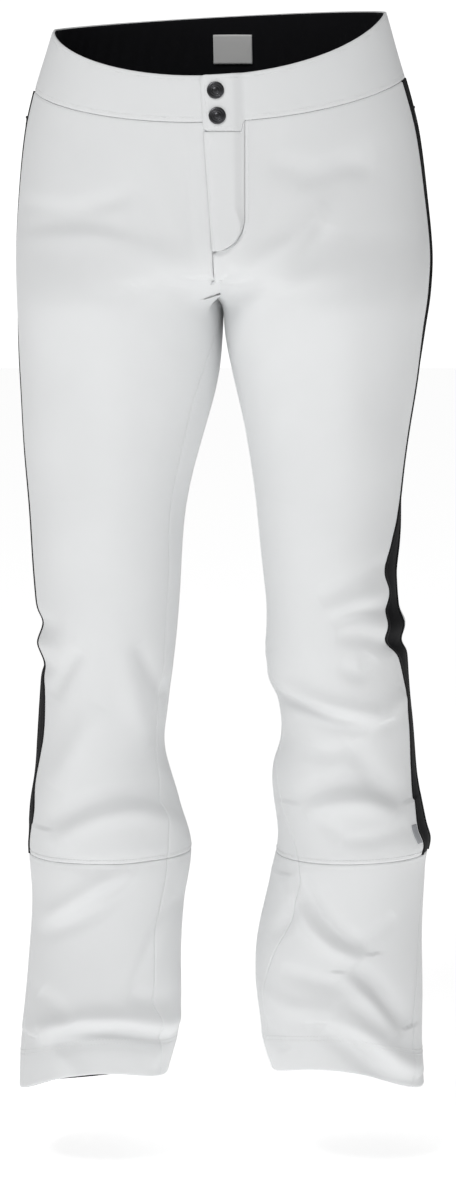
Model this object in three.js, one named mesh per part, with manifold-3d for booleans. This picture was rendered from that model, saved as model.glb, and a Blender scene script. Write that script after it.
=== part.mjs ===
// A pair of boot-cut softshell ski pants, standing as they hang on a wearer who has one hip a little raised.
// Millimetres, +Z up, -Y the wearer's front, +X the wearer's left. The origin is the centre of the waist
// opening.
import * as THREE from "three";
import { mergeVertices } from "three/addons/utils/BufferGeometryUtils.js";
import Module from "manifold-3d";

// Cloth
const CLOTH = 1.6; // one layer of bonded softshell
const LINING = 1.1; // facing, pocket cloth and gaiter cloth
const LAYER_GAP = 0.4; // between two layers that lie on each other
const SEAM_GAP = 0.4; // between two panels that are sewn edge to edge
const CENTRE_CLEARANCE = 0.3; // from the centre plane to each half

// Heights, downwards from the waist
const WAIST_LEVEL = -6.5;
const WAISTBAND_DEPTH = 59.5;
const HIP_LEVEL = -200; // below this every level is flat
const CROTCH_LEVEL = -265;
const CALF_SEAM_LEVEL = -809;
const HEM_LEVEL = -1042;
const HEM_FACING_DEPTH = 30;

// Width over the hips. The outlines of the legs below are drawn for the second one, and follow the first.
const HIP_WIDTH = 400;
const DRAWN_HIP_WIDTH = 400;

// Waist edge
const FRONT_DIP = 54.5; // centre front lies this far below the sides
const BACK_RISE = 8;
const HIP_TILT = 8.5; // one side of the waist is raised, the other lowered, by this

// Stance
const CENTRE_X = 0.5;
const TURN = 0.08; // sideways shift for each millimetre of depth: the hips are turned a little

// Crotch curve: how far above the crotch the legs' inner walls run out into the front and the back
const FRONT_CURVE = 62;
const BACK_CURVE = 130;

// Side stripe, measured along the cloth from the side line
const STRIPE_WIDTH = 30;
const STRIPE_AHEAD = { left: 20, right: 12 };
const PIPING_WIDTH = 2.4;
const PIPING_HEIGHT = 1.2;

// Fly
const LEAN = 22 / 163; // the front leans back by this for each millimetre of height
const LEAN_START_Z = -59;
const LEAN_START_Y = -98;
const LEAN_END_Z = -222;
const FLAP_FOLD_X = 20.7; // the line that the fly flap and the waist tab hinge on
const FLAP_EDGE_TOP_X = -21.7;
const FLAP_EDGE_DRIFT = 11.7 / 163; // the free edge nears the fold by this for each millimetre down
const FLAP_BOTTOM_Z = -222;
const TAB_BOTTOM_Z = -111.5;
const FLAP_BULGE = 2.4; // how far the flap stands off its free edge's height, over the zip and the snaps
const UNDERLAP_END_X = 12.5; // how far the right half of the waistband runs on under the tab
const FOLD_GAP = 0.8; // between the flap and the panel beside the fold

// Zips, in millimetres in the zip's own frame: X across, Y into the garment, Z up
const ZIP = {
  tooth: 2.4,
  toothDepth: 2.4,
  slot: 0.8, // half of the clear slot that the slider's bridge runs in
  axisDepth: 3.0, // depth of the chain's middle below the cloth's face
  tapeWidth: 10,
  tapeThickness: 0.8,
  sliderWidth: 8,
  sliderLength: 10,
  plate: 1.0,
  plateGap: 0.4,
  bridge: 1.0,
  pinRadius: 0.4,
  eyeRadius: 0.65,
  eyeRing: 0.5,
  pullThickness: 0.8,
  pullWidth: 5,
};
const FLY_ZIP_FROM_CENTRE = 5.5;
const FLY_ZIP_TOP_Z = -107;
const FLY_ZIP_LENGTH = 111;
const FLY_PULL_LENGTH = 15;
const FLY_PIN_HEIGHT = 1.3; // of the pull's pin above the slider's front plate
const TOOTH_PITCH = 3.6;
const STOP_LENGTH = 2.4;

// Hand pockets, in the stripe just below the waistband
const POCKET_TOP_LEVEL = -90;
const POCKET_ZIP_LENGTH = 118;
const POCKET_SLOT = 13; // how far the stripe stands back beside the zip
const POCKET_TAPE_HALF = 7.5;
const POCKET_ZIP_BEHIND = 7.5; // the middle of the zip, behind the stripe's leading edge
const POCKET_PULL_LENGTH = 15;
const POCKET_PIN_HEIGHT = 3.2; // higher, because the hip bulges past the straight zip

// Grey badge on the left leg: its edges in columns and in rows of the front panel
const BADGE_ACROSS = [0.15, 0.6];
const BADGE_UP = [0.3, 0.72];

// Snaps: [x, z] of each, and radii
const SNAPS = { upper: [-6.6, -74], lower: [-5, -97.4] };
const CAP_RADIUS = 8;
const SOCKET_RADIUS = 6.2;
const STUD_RADIUS = 4.4;
const SHANK_RADIUS = 1.2;
const SHANK_CLEARANCE = 0.35;
const ROUND_SEGMENTS = 18;

// Gaiters inside the legs
const GAITER_HEM_LEVEL = HEM_LEVEL + 34;
const GAITER_TOP_ROW = 5; // the row of the lower leg that it is sewn to
const GAITER_HALF_WIDTH = 50;
const GAITER_HALF_DEPTH = 57;
const GAITER_ELASTIC_HEIGHT = 24;

const WHITE_CLOTH = cloth("shell_white", 0xdfe1e1, 0.82);
const BLACK_CLOTH = cloth("stripe_black", 0x16161a, 0.7);
const BLACK_PIPING = cloth("piping_black", 0x0e0e10, 0.5);
const BLACK_LINING = cloth("lining_black", 0x141418, 0.9);
const WHITE_TAPE = cloth("zip_tape_white", 0xd6d8d8, 0.85);
const GREY_BADGE = cloth("badge_grey", 0x9a9ca0, 0.6);
const LABEL_WHITE = cloth("label_white", 0xf0f0ee, 0.7);
const ELASTIC = cloth("elastic_black", 0x1c1c20, 0.85);
const GUNMETAL = new THREE.MeshStandardMaterial({ name: "gunmetal", color: 0x3b3b3e, roughness: 0.35,
  metalness: 1 });
const NICKEL = new THREE.MeshStandardMaterial({ name: "nickel", color: 0xb9b9b6, roughness: 0.3,
  metalness: 1 });
const TEETH = new THREE.MeshStandardMaterial({ name: "zip_teeth", color: 0xcfd0d0, roughness: 0.4,
  metalness: 0 });
const BLACK_COIL = new THREE.MeshStandardMaterial({ name: "zip_coil_black", color: 0x101012,
  roughness: 0.5, metalness: 0 });

function cloth(name, color, roughness) {
  return new THREE.MeshStandardMaterial({ name, color, roughness, metalness: 0 });
}

const wasm = await Module();
wasm.setup();

const { clamp, degToRad, lerp, smoothstep } = THREE.MathUtils;
const SIGN = { left: 1, right: -1 };
const SIDES = ["left", "right"];

// A smooth curve through [height, value] points, listed downwards.
function through(points) {
  const last = points.length - 1;
  const slopes = points.map((_, i) => {
    const [z0, v0] = points[Math.max(i - 1, 0)];
    const [z1, v1] = points[Math.min(i + 1, last)];
    return (v1 - v0) / (z1 - z0);
  });
  return (z) => {
    const below = points.findIndex((p) => p[0] <= z);
    const low = below === -1 ? last - 1 : Math.max(below - 1, 0);
    const [z0, v0] = points[low];
    const [z1, v1] = points[low + 1];
    const span = z1 - z0;
    const t = clamp((z - z0) / span, 0, 1);
    const rise = t * t * (3 - 2 * t);
    const leave = t * (1 - t) * (1 - t) * span * slopes[low];
    const arrive = t * t * (t - 1) * span * slopes[low + 1];
    return v0 + (v1 - v0) * rise + leave + arrive;
  };
}

const drawn = (points) => through(points.map(([z, width]) => [z, (width * HIP_WIDTH) / DRAWN_HIP_WIDTH]));

// Half widths from the centre line to the outside and to the inside of each leg.
const OUTER = {
  right: drawn([
    [20, 150], [0, 157.5], [-37, 169.5], [-74, 181], [-112, 189.5], [-170, 195.5], [-226, 198], [-265, 196.5],
    [-300, 195], [-341, 193.5], [-400, 191], [-477, 186], [-555, 179], [-633, 176.5], [-712, 182], [-762,
      188],
    [-805, 191], [-860, 188], [-911, 189.5], [-991, 198], [-1070, 202],
  ]),
  left: drawn([
    [20, 149], [0, 155.5], [-37, 166], [-74, 177], [-112, 186], [-170, 193.5], [-226, 199], [-265, 198],
    [-300, 193], [-341, 187], [-400, 179.5], [-477, 171], [-555, 171], [-614, 178], [-672, 183], [-732, 187],
    [-791, 199], [-831, 197], [-911, 194], [-991, 196], [-1070, 200],
  ]),
};
const INNER = {
  right: drawn([
    [-265, CENTRE_CLEARANCE], [-300, 0.9], [-341, 5], [-400, 19], [-477, 37], [-555, 42], [-633, 49],
      [-712, 57],
    [-762, 44], [-805, 32], [-860, 39], [-911, 42], [-991, 44], [-1030, 54], [-1070, 66],
  ]),
  left: drawn([
    [-265, CENTRE_CLEARANCE], [-300, 2.4], [-341, 10], [-400, 23], [-477, 33], [-555, 42], [-614, 42],
      [-672, 56],
    [-732, 48], [-791, 53], [-831, 45], [-911, 32], [-991, 38], [-1030, 50], [-1070, 62],
  ]),
};
const leanLine = (z) => LEAN_START_Y + LEAN * (z - LEAN_START_Z);
const thighFront = through([
  [LEAN_END_Z, leanLine(LEAN_END_Z)], [-245, -121.8], [-270, -119.5], [-300, -114.5], [-341, -106.5],
    [-400, -97.5],
  [-477, -90], [-555, -84], [-633, -76], [-712, -70], [-800, -74], [-860, -70], [-950, -76], [-1070, -86],
]);
const frontY = (z) => (z > LEAN_END_Z ? leanLine(z) : thighFront(z));
const backY = through([
  [20, 97], [0, 103], [-60, 119], [-120, 138], [-180, 149], [-225, 148], [-265, 138], [-300, 122], [-341,
    107],
  [-400, 92], [-477, 80], [-555, 72], [-633, 76], [-712, 87], [-800, 88], [-860, 80], [-950, 80], [-1070, 88],
]);

// Where a leg's inseam lies, in degrees round to the front from the innermost line.
const INSEAM_AHEAD = {
  right: through([[-265, 0], [-330, 26], [-400, 32], [-555, 27], [-720, 24], [-809, 38], [-940, 42],
    [-1042, 16]]),
  left: through([[-265, 0], [-330, -6], [-400, -8], [-600, 4], [-760, 30], [-840, 56], [-940, 30], [-1042,
    15]]),
};

// How full a cross-section is at its corners: 1 is an ellipse, and a smaller exponent is squarer.
const fullness = through([
  [20, 1], [-60, 0.95], [-120, 0.86], [-180, 0.76], [-230, 0.7], [-265, 0.74], [-320, 0.88], [-400, 0.97],
    [-480, 1],
  [-1070, 1],
]);

// Half width and middle of the cross-section that holds this angle: below the crotch a leg's own, above it
// one that
// widens until it reaches the centre plane square on.
function halves(side, angle, z) {
  const outer = OUTER[side](z);
  if (z < CROTCH_LEVEL) {
    const inner = INNER[side](z);
    return { half: (outer - inner) / 2, middle: (outer + inner) / 2 };
  }
  const curve = Math.sin(angle) >= 0 ? FRONT_CURVE : BACK_CURVE;
  const closed = clamp(1 - (z - CROTCH_LEVEL) / curve, 0, 1) ** 2;
  const half = (outer - CENTRE_CLEARANCE) / (1 + closed);
  return { half, middle: outer - half };
}

// A point of the outer face. The angle is 0 on the side line, 90 degrees at the front and -90 at the back.
function facePoint(side, angle, z) {
  const { half, middle } = halves(side, angle, z);
  const front = frontY(z);
  const back = backY(z);
  const s = Math.sin(angle);
  const y = (front + back) / 2 - (Math.sign(s) * Math.abs(s) ** fullness(z) * (back - front)) / 2;
  const x = CENTRE_X + SIGN[side] * (middle + half * Math.cos(angle)) + TURN * y;
  return new THREE.Vector3(x, y, z);
}

function faceNormal(side, angle, z) {
  const turn = 0.002;
  const step = 0.5;
  const along = facePoint(side, angle + turn, z).sub(facePoint(side, angle - turn, z));
  const up = facePoint(side, angle, z + step).sub(facePoint(side, angle, z - step));
  return along.cross(up).normalize().multiplyScalar(-SIGN[side]);
}

// The point at a height above the outer face; negative heights go into the cloth and the garment.
const onFace = (side, angle, z, height) =>
  facePoint(side, angle, z).addScaledVector(faceNormal(side, angle, z), height);

// The real height of a level at an angle: the waist dips at the front, rises at the back and tilts with the
// hips.
function levelHeight(side, angle, level) {
  const fade = clamp(1 - level / HIP_LEVEL, 0, 1.2);
  const s = Math.sin(angle);
  const dip = s > 0 ? -FRONT_DIP * s ** 1.5 : -BACK_RISE * s;
  return level + fade * (dip + SIGN[side] * HIP_TILT * Math.cos(angle));
}

// The hem rides up over the boot's instep and drops at the heel; the left one also hangs lower on the
// outside.
function hemHeight(side, angle, rise = 0) {
  const s = Math.sin(angle);
  const arch = s > 0 ? 23 * s * s : 19 * s;
  const tilt = side === "left" ? 9 * (1 - Math.cos(angle)) : 6 * (1 - Math.cos(angle));
  return HEM_LEVEL + arch + tilt + rise;
}

// Angle at which the cloth has run this many millimetres round from the side line.
function angleAhead(millimetres, z) {
  const share = clamp(millimetres / ((backY(z) - frontY(z)) / 2), -1, 1);
  return Math.sign(share) * Math.asin(Math.abs(share) ** (1 / fullness(z)));
}

// Angle at which one half meets the other, at the front or at the back.
function centreAngle(side, towards, z) {
  const { half, middle } = halves(side, towards * 0.5, z);
  return towards * Math.acos(clamp((CENTRE_CLEARANCE - middle) / half, -1, 1));
}

// Front angle at which the face has a given x.
function angleAtX(side, x, z) {
  let low = degToRad(40);
  let high = degToRad(178);
  for (let i = 0; i < 40; i++) {
    const middle = (low + high) / 2;
    const beyond = SIGN[side] * (facePoint(side, middle, z).x - x) > 0;
    if (beyond) low = middle;
    else high = middle;
  }
  return (low + high) / 2;
}

// A closed sheet with a rim, from the points of its outer face (layer 0) and inner face (layer 1).
function sheet(columns, rows, pointAt, wraps = false) {
  const across = wraps ? columns : columns + 1;
  const positions = [];
  for (const layer of [0, 1]) {
    for (let row = 0; row <= rows; row++) {
      for (let column = 0; column < across; column++) {
        positions.push(...pointAt(column, row, layer).toArray());
      }
    }
  }
  const at = (layer, column, row) => (layer * (rows + 1) + row) * across + (column % across);
  const index = [];
  const quad = (a, b, c, d) => index.push(a, b, c, a, c, d);
  for (let c = 0; c < columns; c++) {
    for (let r = 0; r < rows; r++) {
      quad(at(0, c, r), at(0, c + 1, r), at(0, c + 1, r + 1), at(0, c, r + 1));
      quad(at(1, c, r), at(1, c, r + 1), at(1, c + 1, r + 1), at(1, c + 1, r));
    }
    quad(at(0, c + 1, 0), at(0, c, 0), at(1, c, 0), at(1, c + 1, 0));
    quad(at(0, c, rows), at(0, c + 1, rows), at(1, c + 1, rows), at(1, c, rows));
  }
  for (let r = 0; r < rows && !wraps; r++) {
    quad(at(0, 0, r), at(0, 0, r + 1), at(1, 0, r + 1), at(1, 0, r));
    quad(at(0, columns, r + 1), at(0, columns, r), at(1, columns, r), at(1, columns, r + 1));
  }
  return facingOut(new THREE.BufferGeometry()
    .setAttribute("position", new THREE.Float32BufferAttribute(positions, 3))
    .setIndex(index));
}

// The same closed geometry with its faces pointing out.
function facingOut(geometry) {
  const position = geometry.getAttribute("position");
  const index = geometry.getIndex();
  const [a, b, c] = [new THREE.Vector3(), new THREE.Vector3(), new THREE.Vector3()];
  let volume = 0;
  for (let i = 0; i < index.count; i += 3) {
    a.fromBufferAttribute(position, index.getX(i));
    b.fromBufferAttribute(position, index.getX(i + 1));
    c.fromBufferAttribute(position, index.getX(i + 2));
    volume += a.dot(b.cross(c));
  }
  if (volume < 0) {
    for (let i = 0; i < index.count; i += 3) {
      const kept = index.getX(i);
      index.setX(i, index.getX(i + 1));
      index.setX(i + 1, kept);
    }
  }
  return geometry;
}

function solidOf(geometry) {
  const bare = new THREE.BufferGeometry().setAttribute("position", geometry.getAttribute("position").clone());
  if (geometry.getIndex()) bare.setIndex(geometry.getIndex().clone());
  const merged = mergeVertices(bare, 1e-4);
  const vertProperties = new Float32Array(merged.getAttribute("position").array);
  const triVerts = new Uint32Array(merged.getIndex().array);
  return new wasm.Manifold(new wasm.Mesh({ numProp: 3, vertProperties, triVerts }));
}

function geometryOf(solid) {
  const mesh = solid.getMesh();
  return new THREE.BufferGeometry()
    .setAttribute("position", new THREE.BufferAttribute(new Float32Array(mesh.vertProperties), 3))
    .setIndex(new THREE.BufferAttribute(new Uint32Array(mesh.triVerts), 1));
}

const joined = (...parts) => geometryOf(parts.map(solidOf).reduce((a, b) => a.add(b)));
const cut = (part, ...tools) => geometryOf(tools.map(solidOf).reduce((a, b) => a.subtract(b), solidOf(part)));

// A box between two corners.
function block([x0, y0, z0], [x1, y1, z1]) {
  return new THREE.BoxGeometry(x1 - x0, y1 - y0, z1 - z0).translate((x0 + x1) / 2, (y0 + y1) / 2,
    (z0 + z1) / 2);
}

// An outline of [across, depth] points drawn out along Z between two heights.
function bar(outline, low, high) {
  const shape = new THREE.Shape(outline.map(([x, y]) => new THREE.Vector2(x, y)));
  return new THREE.ExtrudeGeometry(shape, { depth: high - low, bevelEnabled: false }).translate(0, 0, low);
}

const pants = new THREE.Group();

function add(name, geometry, material, parent = pants) {
  const mesh = new THREE.Mesh(geometry, material);
  mesh.name = name;
  parent.add(mesh);
  return mesh;
}

// ---- Shell panels ----

const edgeGap = degToRad(0.12); // half of a seam's gap, as an angle on the lower leg and at the centre

// Where a row of a cloth piece crosses a column, when the column's angle depends on the height and the
// row's height on
// the angle. A row is a level, or a function from angle to height.
function crossing(side, row, columnAngle) {
  const height = typeof row === "function" ? row : (angle) => levelHeight(side, angle, row);
  let z = height(0);
  for (let i = 0; i < 8; i++) z = height(columnAngle(z, row));
  return { angle: columnAngle(z, row), z };
}

// A cloth piece between two edges, given as functions from height to angle, with its rows listed upwards.
function clothPiece(side, rows, from, to, columns, top = 0, thickness = CLOTH) {
  return sheet(columns, rows.length - 1, (column, row, layer) => {
    const { angle, z } = crossing(side, rows[row], (height, level) =>
      lerp(from(height, level), to(height, level), column / columns));
    return onFace(side, angle, z, layer === 0 ? top : top - thickness);
  });
}

// The middles of the two pipings that run down the edges of the stripe, and the edges of a panel ahead of
// one (+1) or
// behind it (-1).
const stripeFront = (side) => (z) => angleAhead(STRIPE_AHEAD[side], z);
const stripeBack = (side) => (z) => angleAhead(STRIPE_AHEAD[side] - STRIPE_WIDTH, z);
const pastPiping = (edge, towards) => (z) => edge(z) + towards * angleAhead(PIPING_WIDTH / 2 + SEAM_GAP, z);

// The seam between upper and lower leg, and the side seam below it, which wanders to the front.
const sideSeam = (z) => angleAhead(lerp(10, 40, smoothstep(-z, -CALF_SEAM_LEVEL, -HEM_LEVEL)), z);
const inseam = (side, z) => Math.PI - degToRad(INSEAM_AHEAD[side](z));

// The inner edge of a front panel: inseam below the crotch, centre front above it.
const frontInner = (side) => (z) =>
  z < CROTCH_LEVEL ? inseam(side, z) - edgeGap : Math.min(centreAngle(side, 1, z), Math.PI - edgeGap);
const backInner = (side) => (z) =>
  z < CROTCH_LEVEL ? inseam(side, z) - 2 * Math.PI + edgeGap : Math.max(centreAngle(side, -1, z),
    edgeGap - Math.PI);

// Levels that every piece of the upper leg has in common, so that their edges run side by side.
const THIGH_LEVELS = [
  CALF_SEAM_LEVEL + SEAM_GAP / 2, -765, -715, -670, -620, -560, -480, -400, -341, -300, -278, CROTCH_LEVEL,
];
const CROTCH_LEVELS = [...THIGH_LEVELS, CROTCH_LEVEL + 3, -254, -240];
const POCKET_ENDS = [POCKET_TOP_LEVEL - POCKET_ZIP_LENGTH - 4, POCKET_TOP_LEVEL + 4];
const seamLevel = WAIST_LEVEL - WAISTBAND_DEPTH;
const waistSeam = (side) => (angle) => levelHeight(side, angle, seamLevel) - SEAM_GAP / 2;
const yokeSeam = (side, shift) => (angle) =>
  levelHeight(side, angle, seamLevel - 32) - 38 * Math.abs(Math.sin(angle)) ** 1.5 + shift;
const between = (low, high, share) => (angle) => lerp(low, high(angle), share);

// The front panel's edge at the fly. Beside the flap the left panel ends at the flap's fold.
const foldAngle = (z) => angleAtX("left", FLAP_FOLD_X + FOLD_GAP / 2, z);
const flyEdge = (side) => (z) =>
  side === "left" && z > FLAP_BOTTOM_Z - 0.5 ? foldAngle(z) : frontInner(side)(z);
const HIP_LEVELS = [
  -225, FLAP_BOTTOM_Z - 0.8, FLAP_BOTTOM_Z - SEAM_GAP, POCKET_ENDS[0], POCKET_ENDS[0] + 0.8, -175, -145, -115,
  POCKET_ENDS[1] - 0.8, POCKET_ENDS[1],
];
const FRONT_COLUMNS = 8;
const frontRows = (side) => [...CROTCH_LEVELS, ...HIP_LEVELS, waistSeam(side)];

for (const side of SIDES) {
  const hipLevels = [...HIP_LEVELS, waistSeam(side)];
  add(`front_panel_${side}`,
    clothPiece(side, frontRows(side), pastPiping(stripeFront(side), 1), flyEdge(side), FRONT_COLUMNS),
    WHITE_CLOTH);

  const backTop = yokeSeam(side, -SEAM_GAP / 2);
  const backLevels = [...HIP_LEVELS.slice(0, 7), between(-145, backTop, 0.65), backTop];
  add(`back_panel_${side}`,
    clothPiece(side, [...CROTCH_LEVELS, ...backLevels], pastPiping(stripeBack(side), -1), backInner(side), 8),
    WHITE_CLOTH);

  const yokeLow = yokeSeam(side, SEAM_GAP / 2);
  const yokeMiddle = (angle) => (yokeLow(angle) + waistSeam(side)(angle)) / 2;
  add(`back_yoke_${side}`,
    clothPiece(side, [yokeLow, yokeMiddle, waistSeam(side)], pastPiping(stripeBack(side), -1),
      backInner(side), 7),
    WHITE_CLOTH);

  // The stripe stands back beside the pocket zip.
  const besidePocket = (level) => level < POCKET_ENDS[1] - 0.4 && level > POCKET_ENDS[0] + 0.4;
  const stripeLead = (z, level) =>
    besidePocket(level) ? angleAhead(STRIPE_AHEAD[side] - POCKET_SLOT, z) : pastPiping(stripeFront(side),
      -1)(z);
  add(`side_stripe_${side}`,
    clothPiece(side, [...THIGH_LEVELS, -240, ...hipLevels], pastPiping(stripeBack(side), 1), stripeLead, 2),
    BLACK_CLOTH);

  for (const [where, edge] of [["front", stripeFront(side)], ["back", stripeBack(side)]]) {
    const half = (z) => angleAhead(PIPING_WIDTH / 2, z);
    add(`stripe_piping_${where}_${side}`,
      clothPiece(side, [...THIGH_LEVELS, -240, ...hipLevels], (z) => edge(z) - half(z),
        (z) => edge(z) + half(z), 1, PIPING_HEIGHT, PIPING_HEIGHT + CLOTH),
      BLACK_PIPING);
  }
}

// ---- Lower legs, hem facings and gaiters ----

const LEG_ROWS = 7; // of the lower leg panels, from the hem to the calf seam
const LEG_COLUMNS = { front: 8, back: 10 };
const calfSeam = CALF_SEAM_LEVEL - SEAM_GAP / 2;

// Angles of the lower leg's edges and folds at a height, right round from the side seam; the front comes
// first.
function legRing(side, z) {
  const start = sideSeam(z);
  const turn = inseam(side, z);
  const share = (columns, from, to) =>
    Array.from({ length: columns }, (_, i) => lerp(from, to, i / columns));
  return [...share(LEG_COLUMNS.front, start, turn), ...share(LEG_COLUMNS.back, turn, start + 2 * Math.PI)];
}

// A closed ring inside the lower leg, between heights given for each angle.
function legBand(side, heights, pointAt) {
  const round = LEG_COLUMNS.front + LEG_COLUMNS.back;
  return sheet(round, heights.length - 1, (column, row, layer) => {
    const { angle, z } = crossing(side, heights[row], (height) => legRing(side, height)[column]);
    return pointAt(angle, z, layer);
  }, true);
}

for (const side of SIDES) {
  const rows = Array.from({ length: LEG_ROWS + 1 }, (_, i) => (angle) =>
    lerp(hemHeight(side, angle), calfSeam, i / LEG_ROWS));
  add(`lower_leg_front_${side}`,
    clothPiece(side, rows, (z) => sideSeam(z) + edgeGap, (z) => inseam(side, z) - edgeGap, LEG_COLUMNS.front),
    WHITE_CLOTH);
  add(`lower_leg_back_${side}`,
    clothPiece(side, rows, (z) => inseam(side, z) - 2 * Math.PI + edgeGap, (z) => sideSeam(z) - edgeGap,
      LEG_COLUMNS.back),
    WHITE_CLOTH);
  add(`hem_facing_${side}`,
    legBand(side, rows.slice(0, 2), (angle, z, layer) =>
      onFace(side, angle, z, -CLOTH - LAYER_GAP - layer * LINING)),
    BLACK_LINING);

  // A tube that leaves the leg's wall at its top and closes in on the boot at its hem.
  const top = rows[GAITER_TOP_ROW];
  const elasticTop = GAITER_HEM_LEVEL + GAITER_ELASTIC_HEIGHT;
  const gaiterRows = [
    { height: () => GAITER_HEM_LEVEL, open: 0 },
    { height: () => elasticTop, open: 0 },
    { height: (angle) => lerp(elasticTop, top(angle), 0.4), open: 0.15 },
    { height: (angle) => lerp(elasticTop, top(angle), 0.75), open: 0.7 },
    { height: top, open: 1 },
  ];
  const middleX = CENTRE_X + SIGN[side] * halves(side, 0, elasticTop).middle;
  const gaiter = (used, outset) =>
    sheet(LEG_COLUMNS.front + LEG_COLUMNS.back, used.length - 1, (column, row, layer) => {
      const { height, open } = used[row];
      const { angle, z } = crossing(side, height, (rowZ) => legRing(side, rowZ)[column]);
      const out = outset - layer * LINING;
      const wall = onFace(side, angle, z, out - CLOTH - LAYER_GAP - 0.3);
      const x = middleX + SIGN[side] * (GAITER_HALF_WIDTH + out) * Math.cos(angle);
      const y = -(GAITER_HALF_DEPTH + out) * Math.sin(angle);
      return new THREE.Vector3(lerp(x, wall.x, open), lerp(y, wall.y, open), z);
    }, true);
  add(`gaiter_${side}`, gaiter(gaiterRows, 0), BLACK_LINING);
  add(`gaiter_elastic_${side}`, gaiter(gaiterRows.slice(0, 2), LAYER_GAP + LINING), ELASTIC);
}

// ---- Snaps: their frames come first, because the waistband is pierced for their shanks ----

const tabRise = (share) =>
  LAYER_GAP + FLAP_BULGE * smoothstep(share, 0,
    0.13) - (FLAP_BULGE + LAYER_GAP + CLOTH) * smoothstep(share, 0.68, 1);
const TAB_INNER = LAYER_GAP + FLAP_BULGE; // of the flap and tab where they stand clear
const TAB_OUTER = TAB_INNER + CLOTH;
const freeEdgeX = (z) => FLAP_EDGE_TOP_X + FLAP_EDGE_DRIFT * (LEAN_START_Z - z);

// The front face by x and height, whichever half that x is on.
function onFront(x, z, height) {
  const side = x > CENTRE_X + TURN * frontY(z) ? "left" : "right";
  return onFace(side, angleAtX(side, x, z), z, height);
}

function snapFrame([x, z]) {
  const frame = new THREE.Group();
  const side = "right";
  frame.position.copy(onFront(x, z, 0));
  const normal = faceNormal(side, angleAtX(side, x, z), z);
  frame.quaternion.setFromUnitVectors(new THREE.Vector3(0, 1, 0), normal);
  frame.updateMatrix();
  return frame;
}

// A turned piece from [radius, height] points, its axis along the frame's Y.
const turned = (profile) =>
  new THREE.LatheGeometry(profile.map(([r, h]) => new THREE.Vector2(r, h)), ROUND_SEGMENTS);

const postTop = -CLOTH - 2 * LAYER_GAP - LINING; // behind the waistband and its facing
const holeRadius = SHANK_RADIUS + SHANK_CLEARANCE;
const snapFrames = Object.values(SNAPS).map(snapFrame);
const pierced = (geometry) =>
  cut(geometry, ...snapFrames.map((frame) =>
    new THREE.CylinderGeometry(holeRadius, holeRadius, 24, 12).applyMatrix4(frame.matrix)));

// ---- Waistband ----

const bandTop = (side) => (angle) => levelHeight(side, angle, WAIST_LEVEL);
const bandLow = (side) => (angle) => levelHeight(side, angle, seamLevel) + SEAM_GAP / 2;
const bandMiddle = (side) => (angle) => (bandTop(side)(angle) + bandLow(side)(angle)) / 2;
const bandLevels = (side) => [bandLow(side), bandMiddle(side), bandTop(side)];
const underlapEnd = (z) => angleAtX("right", UNDERLAP_END_X, z);
const foldStart = foldAngle;
const sideLine = () => edgeGap;

for (const [name, height, thickness, material] of [
  ["waistband", 0, CLOTH, WHITE_CLOTH],
  ["waistband_facing", -CLOTH - LAYER_GAP, LINING, BLACK_LINING],
]) {
  add(`${name}_right`,
    pierced(clothPiece("right", bandLevels("right"), sideLine, underlapEnd, 9, height, thickness)), material);
  add(`${name}_left`,
    clothPiece("left", bandLevels("left"), sideLine, foldStart, 8, height, thickness), material);
}

// A band round the back, from the right side line to the left one, and so far up the waistband at its lower
// edge, its
// middle and its upper edge.
function backBand(rises, height, thickness) {
  const columns = 16;
  return sheet(columns, 2, (column, row, layer) => {
    const side = column < columns / 2 ? "right" : "left";
    const share = 1 - Math.abs((2 * column) / columns - 1);
    const angle = lerp(-edgeGap, -Math.PI / 2, share);
    const [low, middle, high] = bandLevels(side).map((level) =>
      onFace(side, angle, level(angle), height - layer * thickness));
    const rise = 2 * rises[row];
    return rise < 1 ? low.lerp(middle, rise) : middle.lerp(high, rise - 1);
  });
}

const elasticFace = -CLOTH - LAYER_GAP;
const backFacingFace = elasticFace - LINING - LAYER_GAP;
add("waistband_back", backBand([0, 0.5, 1], 0, CLOTH), WHITE_CLOTH);
add("waist_elastic", backBand([0.15, 0.5, 0.85], elasticFace, LINING), ELASTIC);
add("waistband_facing_back", backBand([0, 0.5, 1], backFacingFace, LINING), BLACK_LINING);

const labelHalf = degToRad(80);
add("size_label",
  sheet(2, 1, (column, row, layer) => {
    const angle = column === 1 ? -Math.PI / 2 : -labelHalf;
    const side = column === 0 ? "right" : "left";
    const z = levelHeight(side, angle, WAIST_LEVEL - 44 + row * 28);
    return onFace(side, angle, z, backFacingFace - LINING - LAYER_GAP - layer * 0.8);
  }),
  LABEL_WHITE);

// ---- Fly flap and waist tab, which open together about the fold ----

// A piece between the free edge and the fold, raised over what lies under it.
function flapPiece(low, high, rows) {
  const shares = [0, 0.05, 0.13, 0.36, 0.6, 0.68, 0.78, 0.89, 1];
  return sheet(shares.length - 1, rows, (column, row, layer) => {
    const share = shares[column];
    const guess = lerp(low(0), high(0), row / rows);
    const x = lerp(freeEdgeX(guess), FLAP_FOLD_X - FOLD_GAP / 2, share);
    const z = lerp(low(x), high(x), row / rows);
    return onFront(x, z, tabRise(share) + (1 - layer) * CLOTH);
  });
}

const frontEdge = (x) => {
  const side = x > CENTRE_X + TURN * LEAN_START_Y ? "left" : "right";
  return levelHeight(side, angleAtX(side, x, LEAN_START_Z), WAIST_LEVEL);
};
add("fly_flap", flapPiece(() => FLAP_BOTTOM_Z, () => TAB_BOTTOM_Z - SEAM_GAP, 4), WHITE_CLOTH);
add("waist_tab", pierced(flapPiece(() => TAB_BOTTOM_Z, frontEdge, 3)), WHITE_CLOTH);

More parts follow.
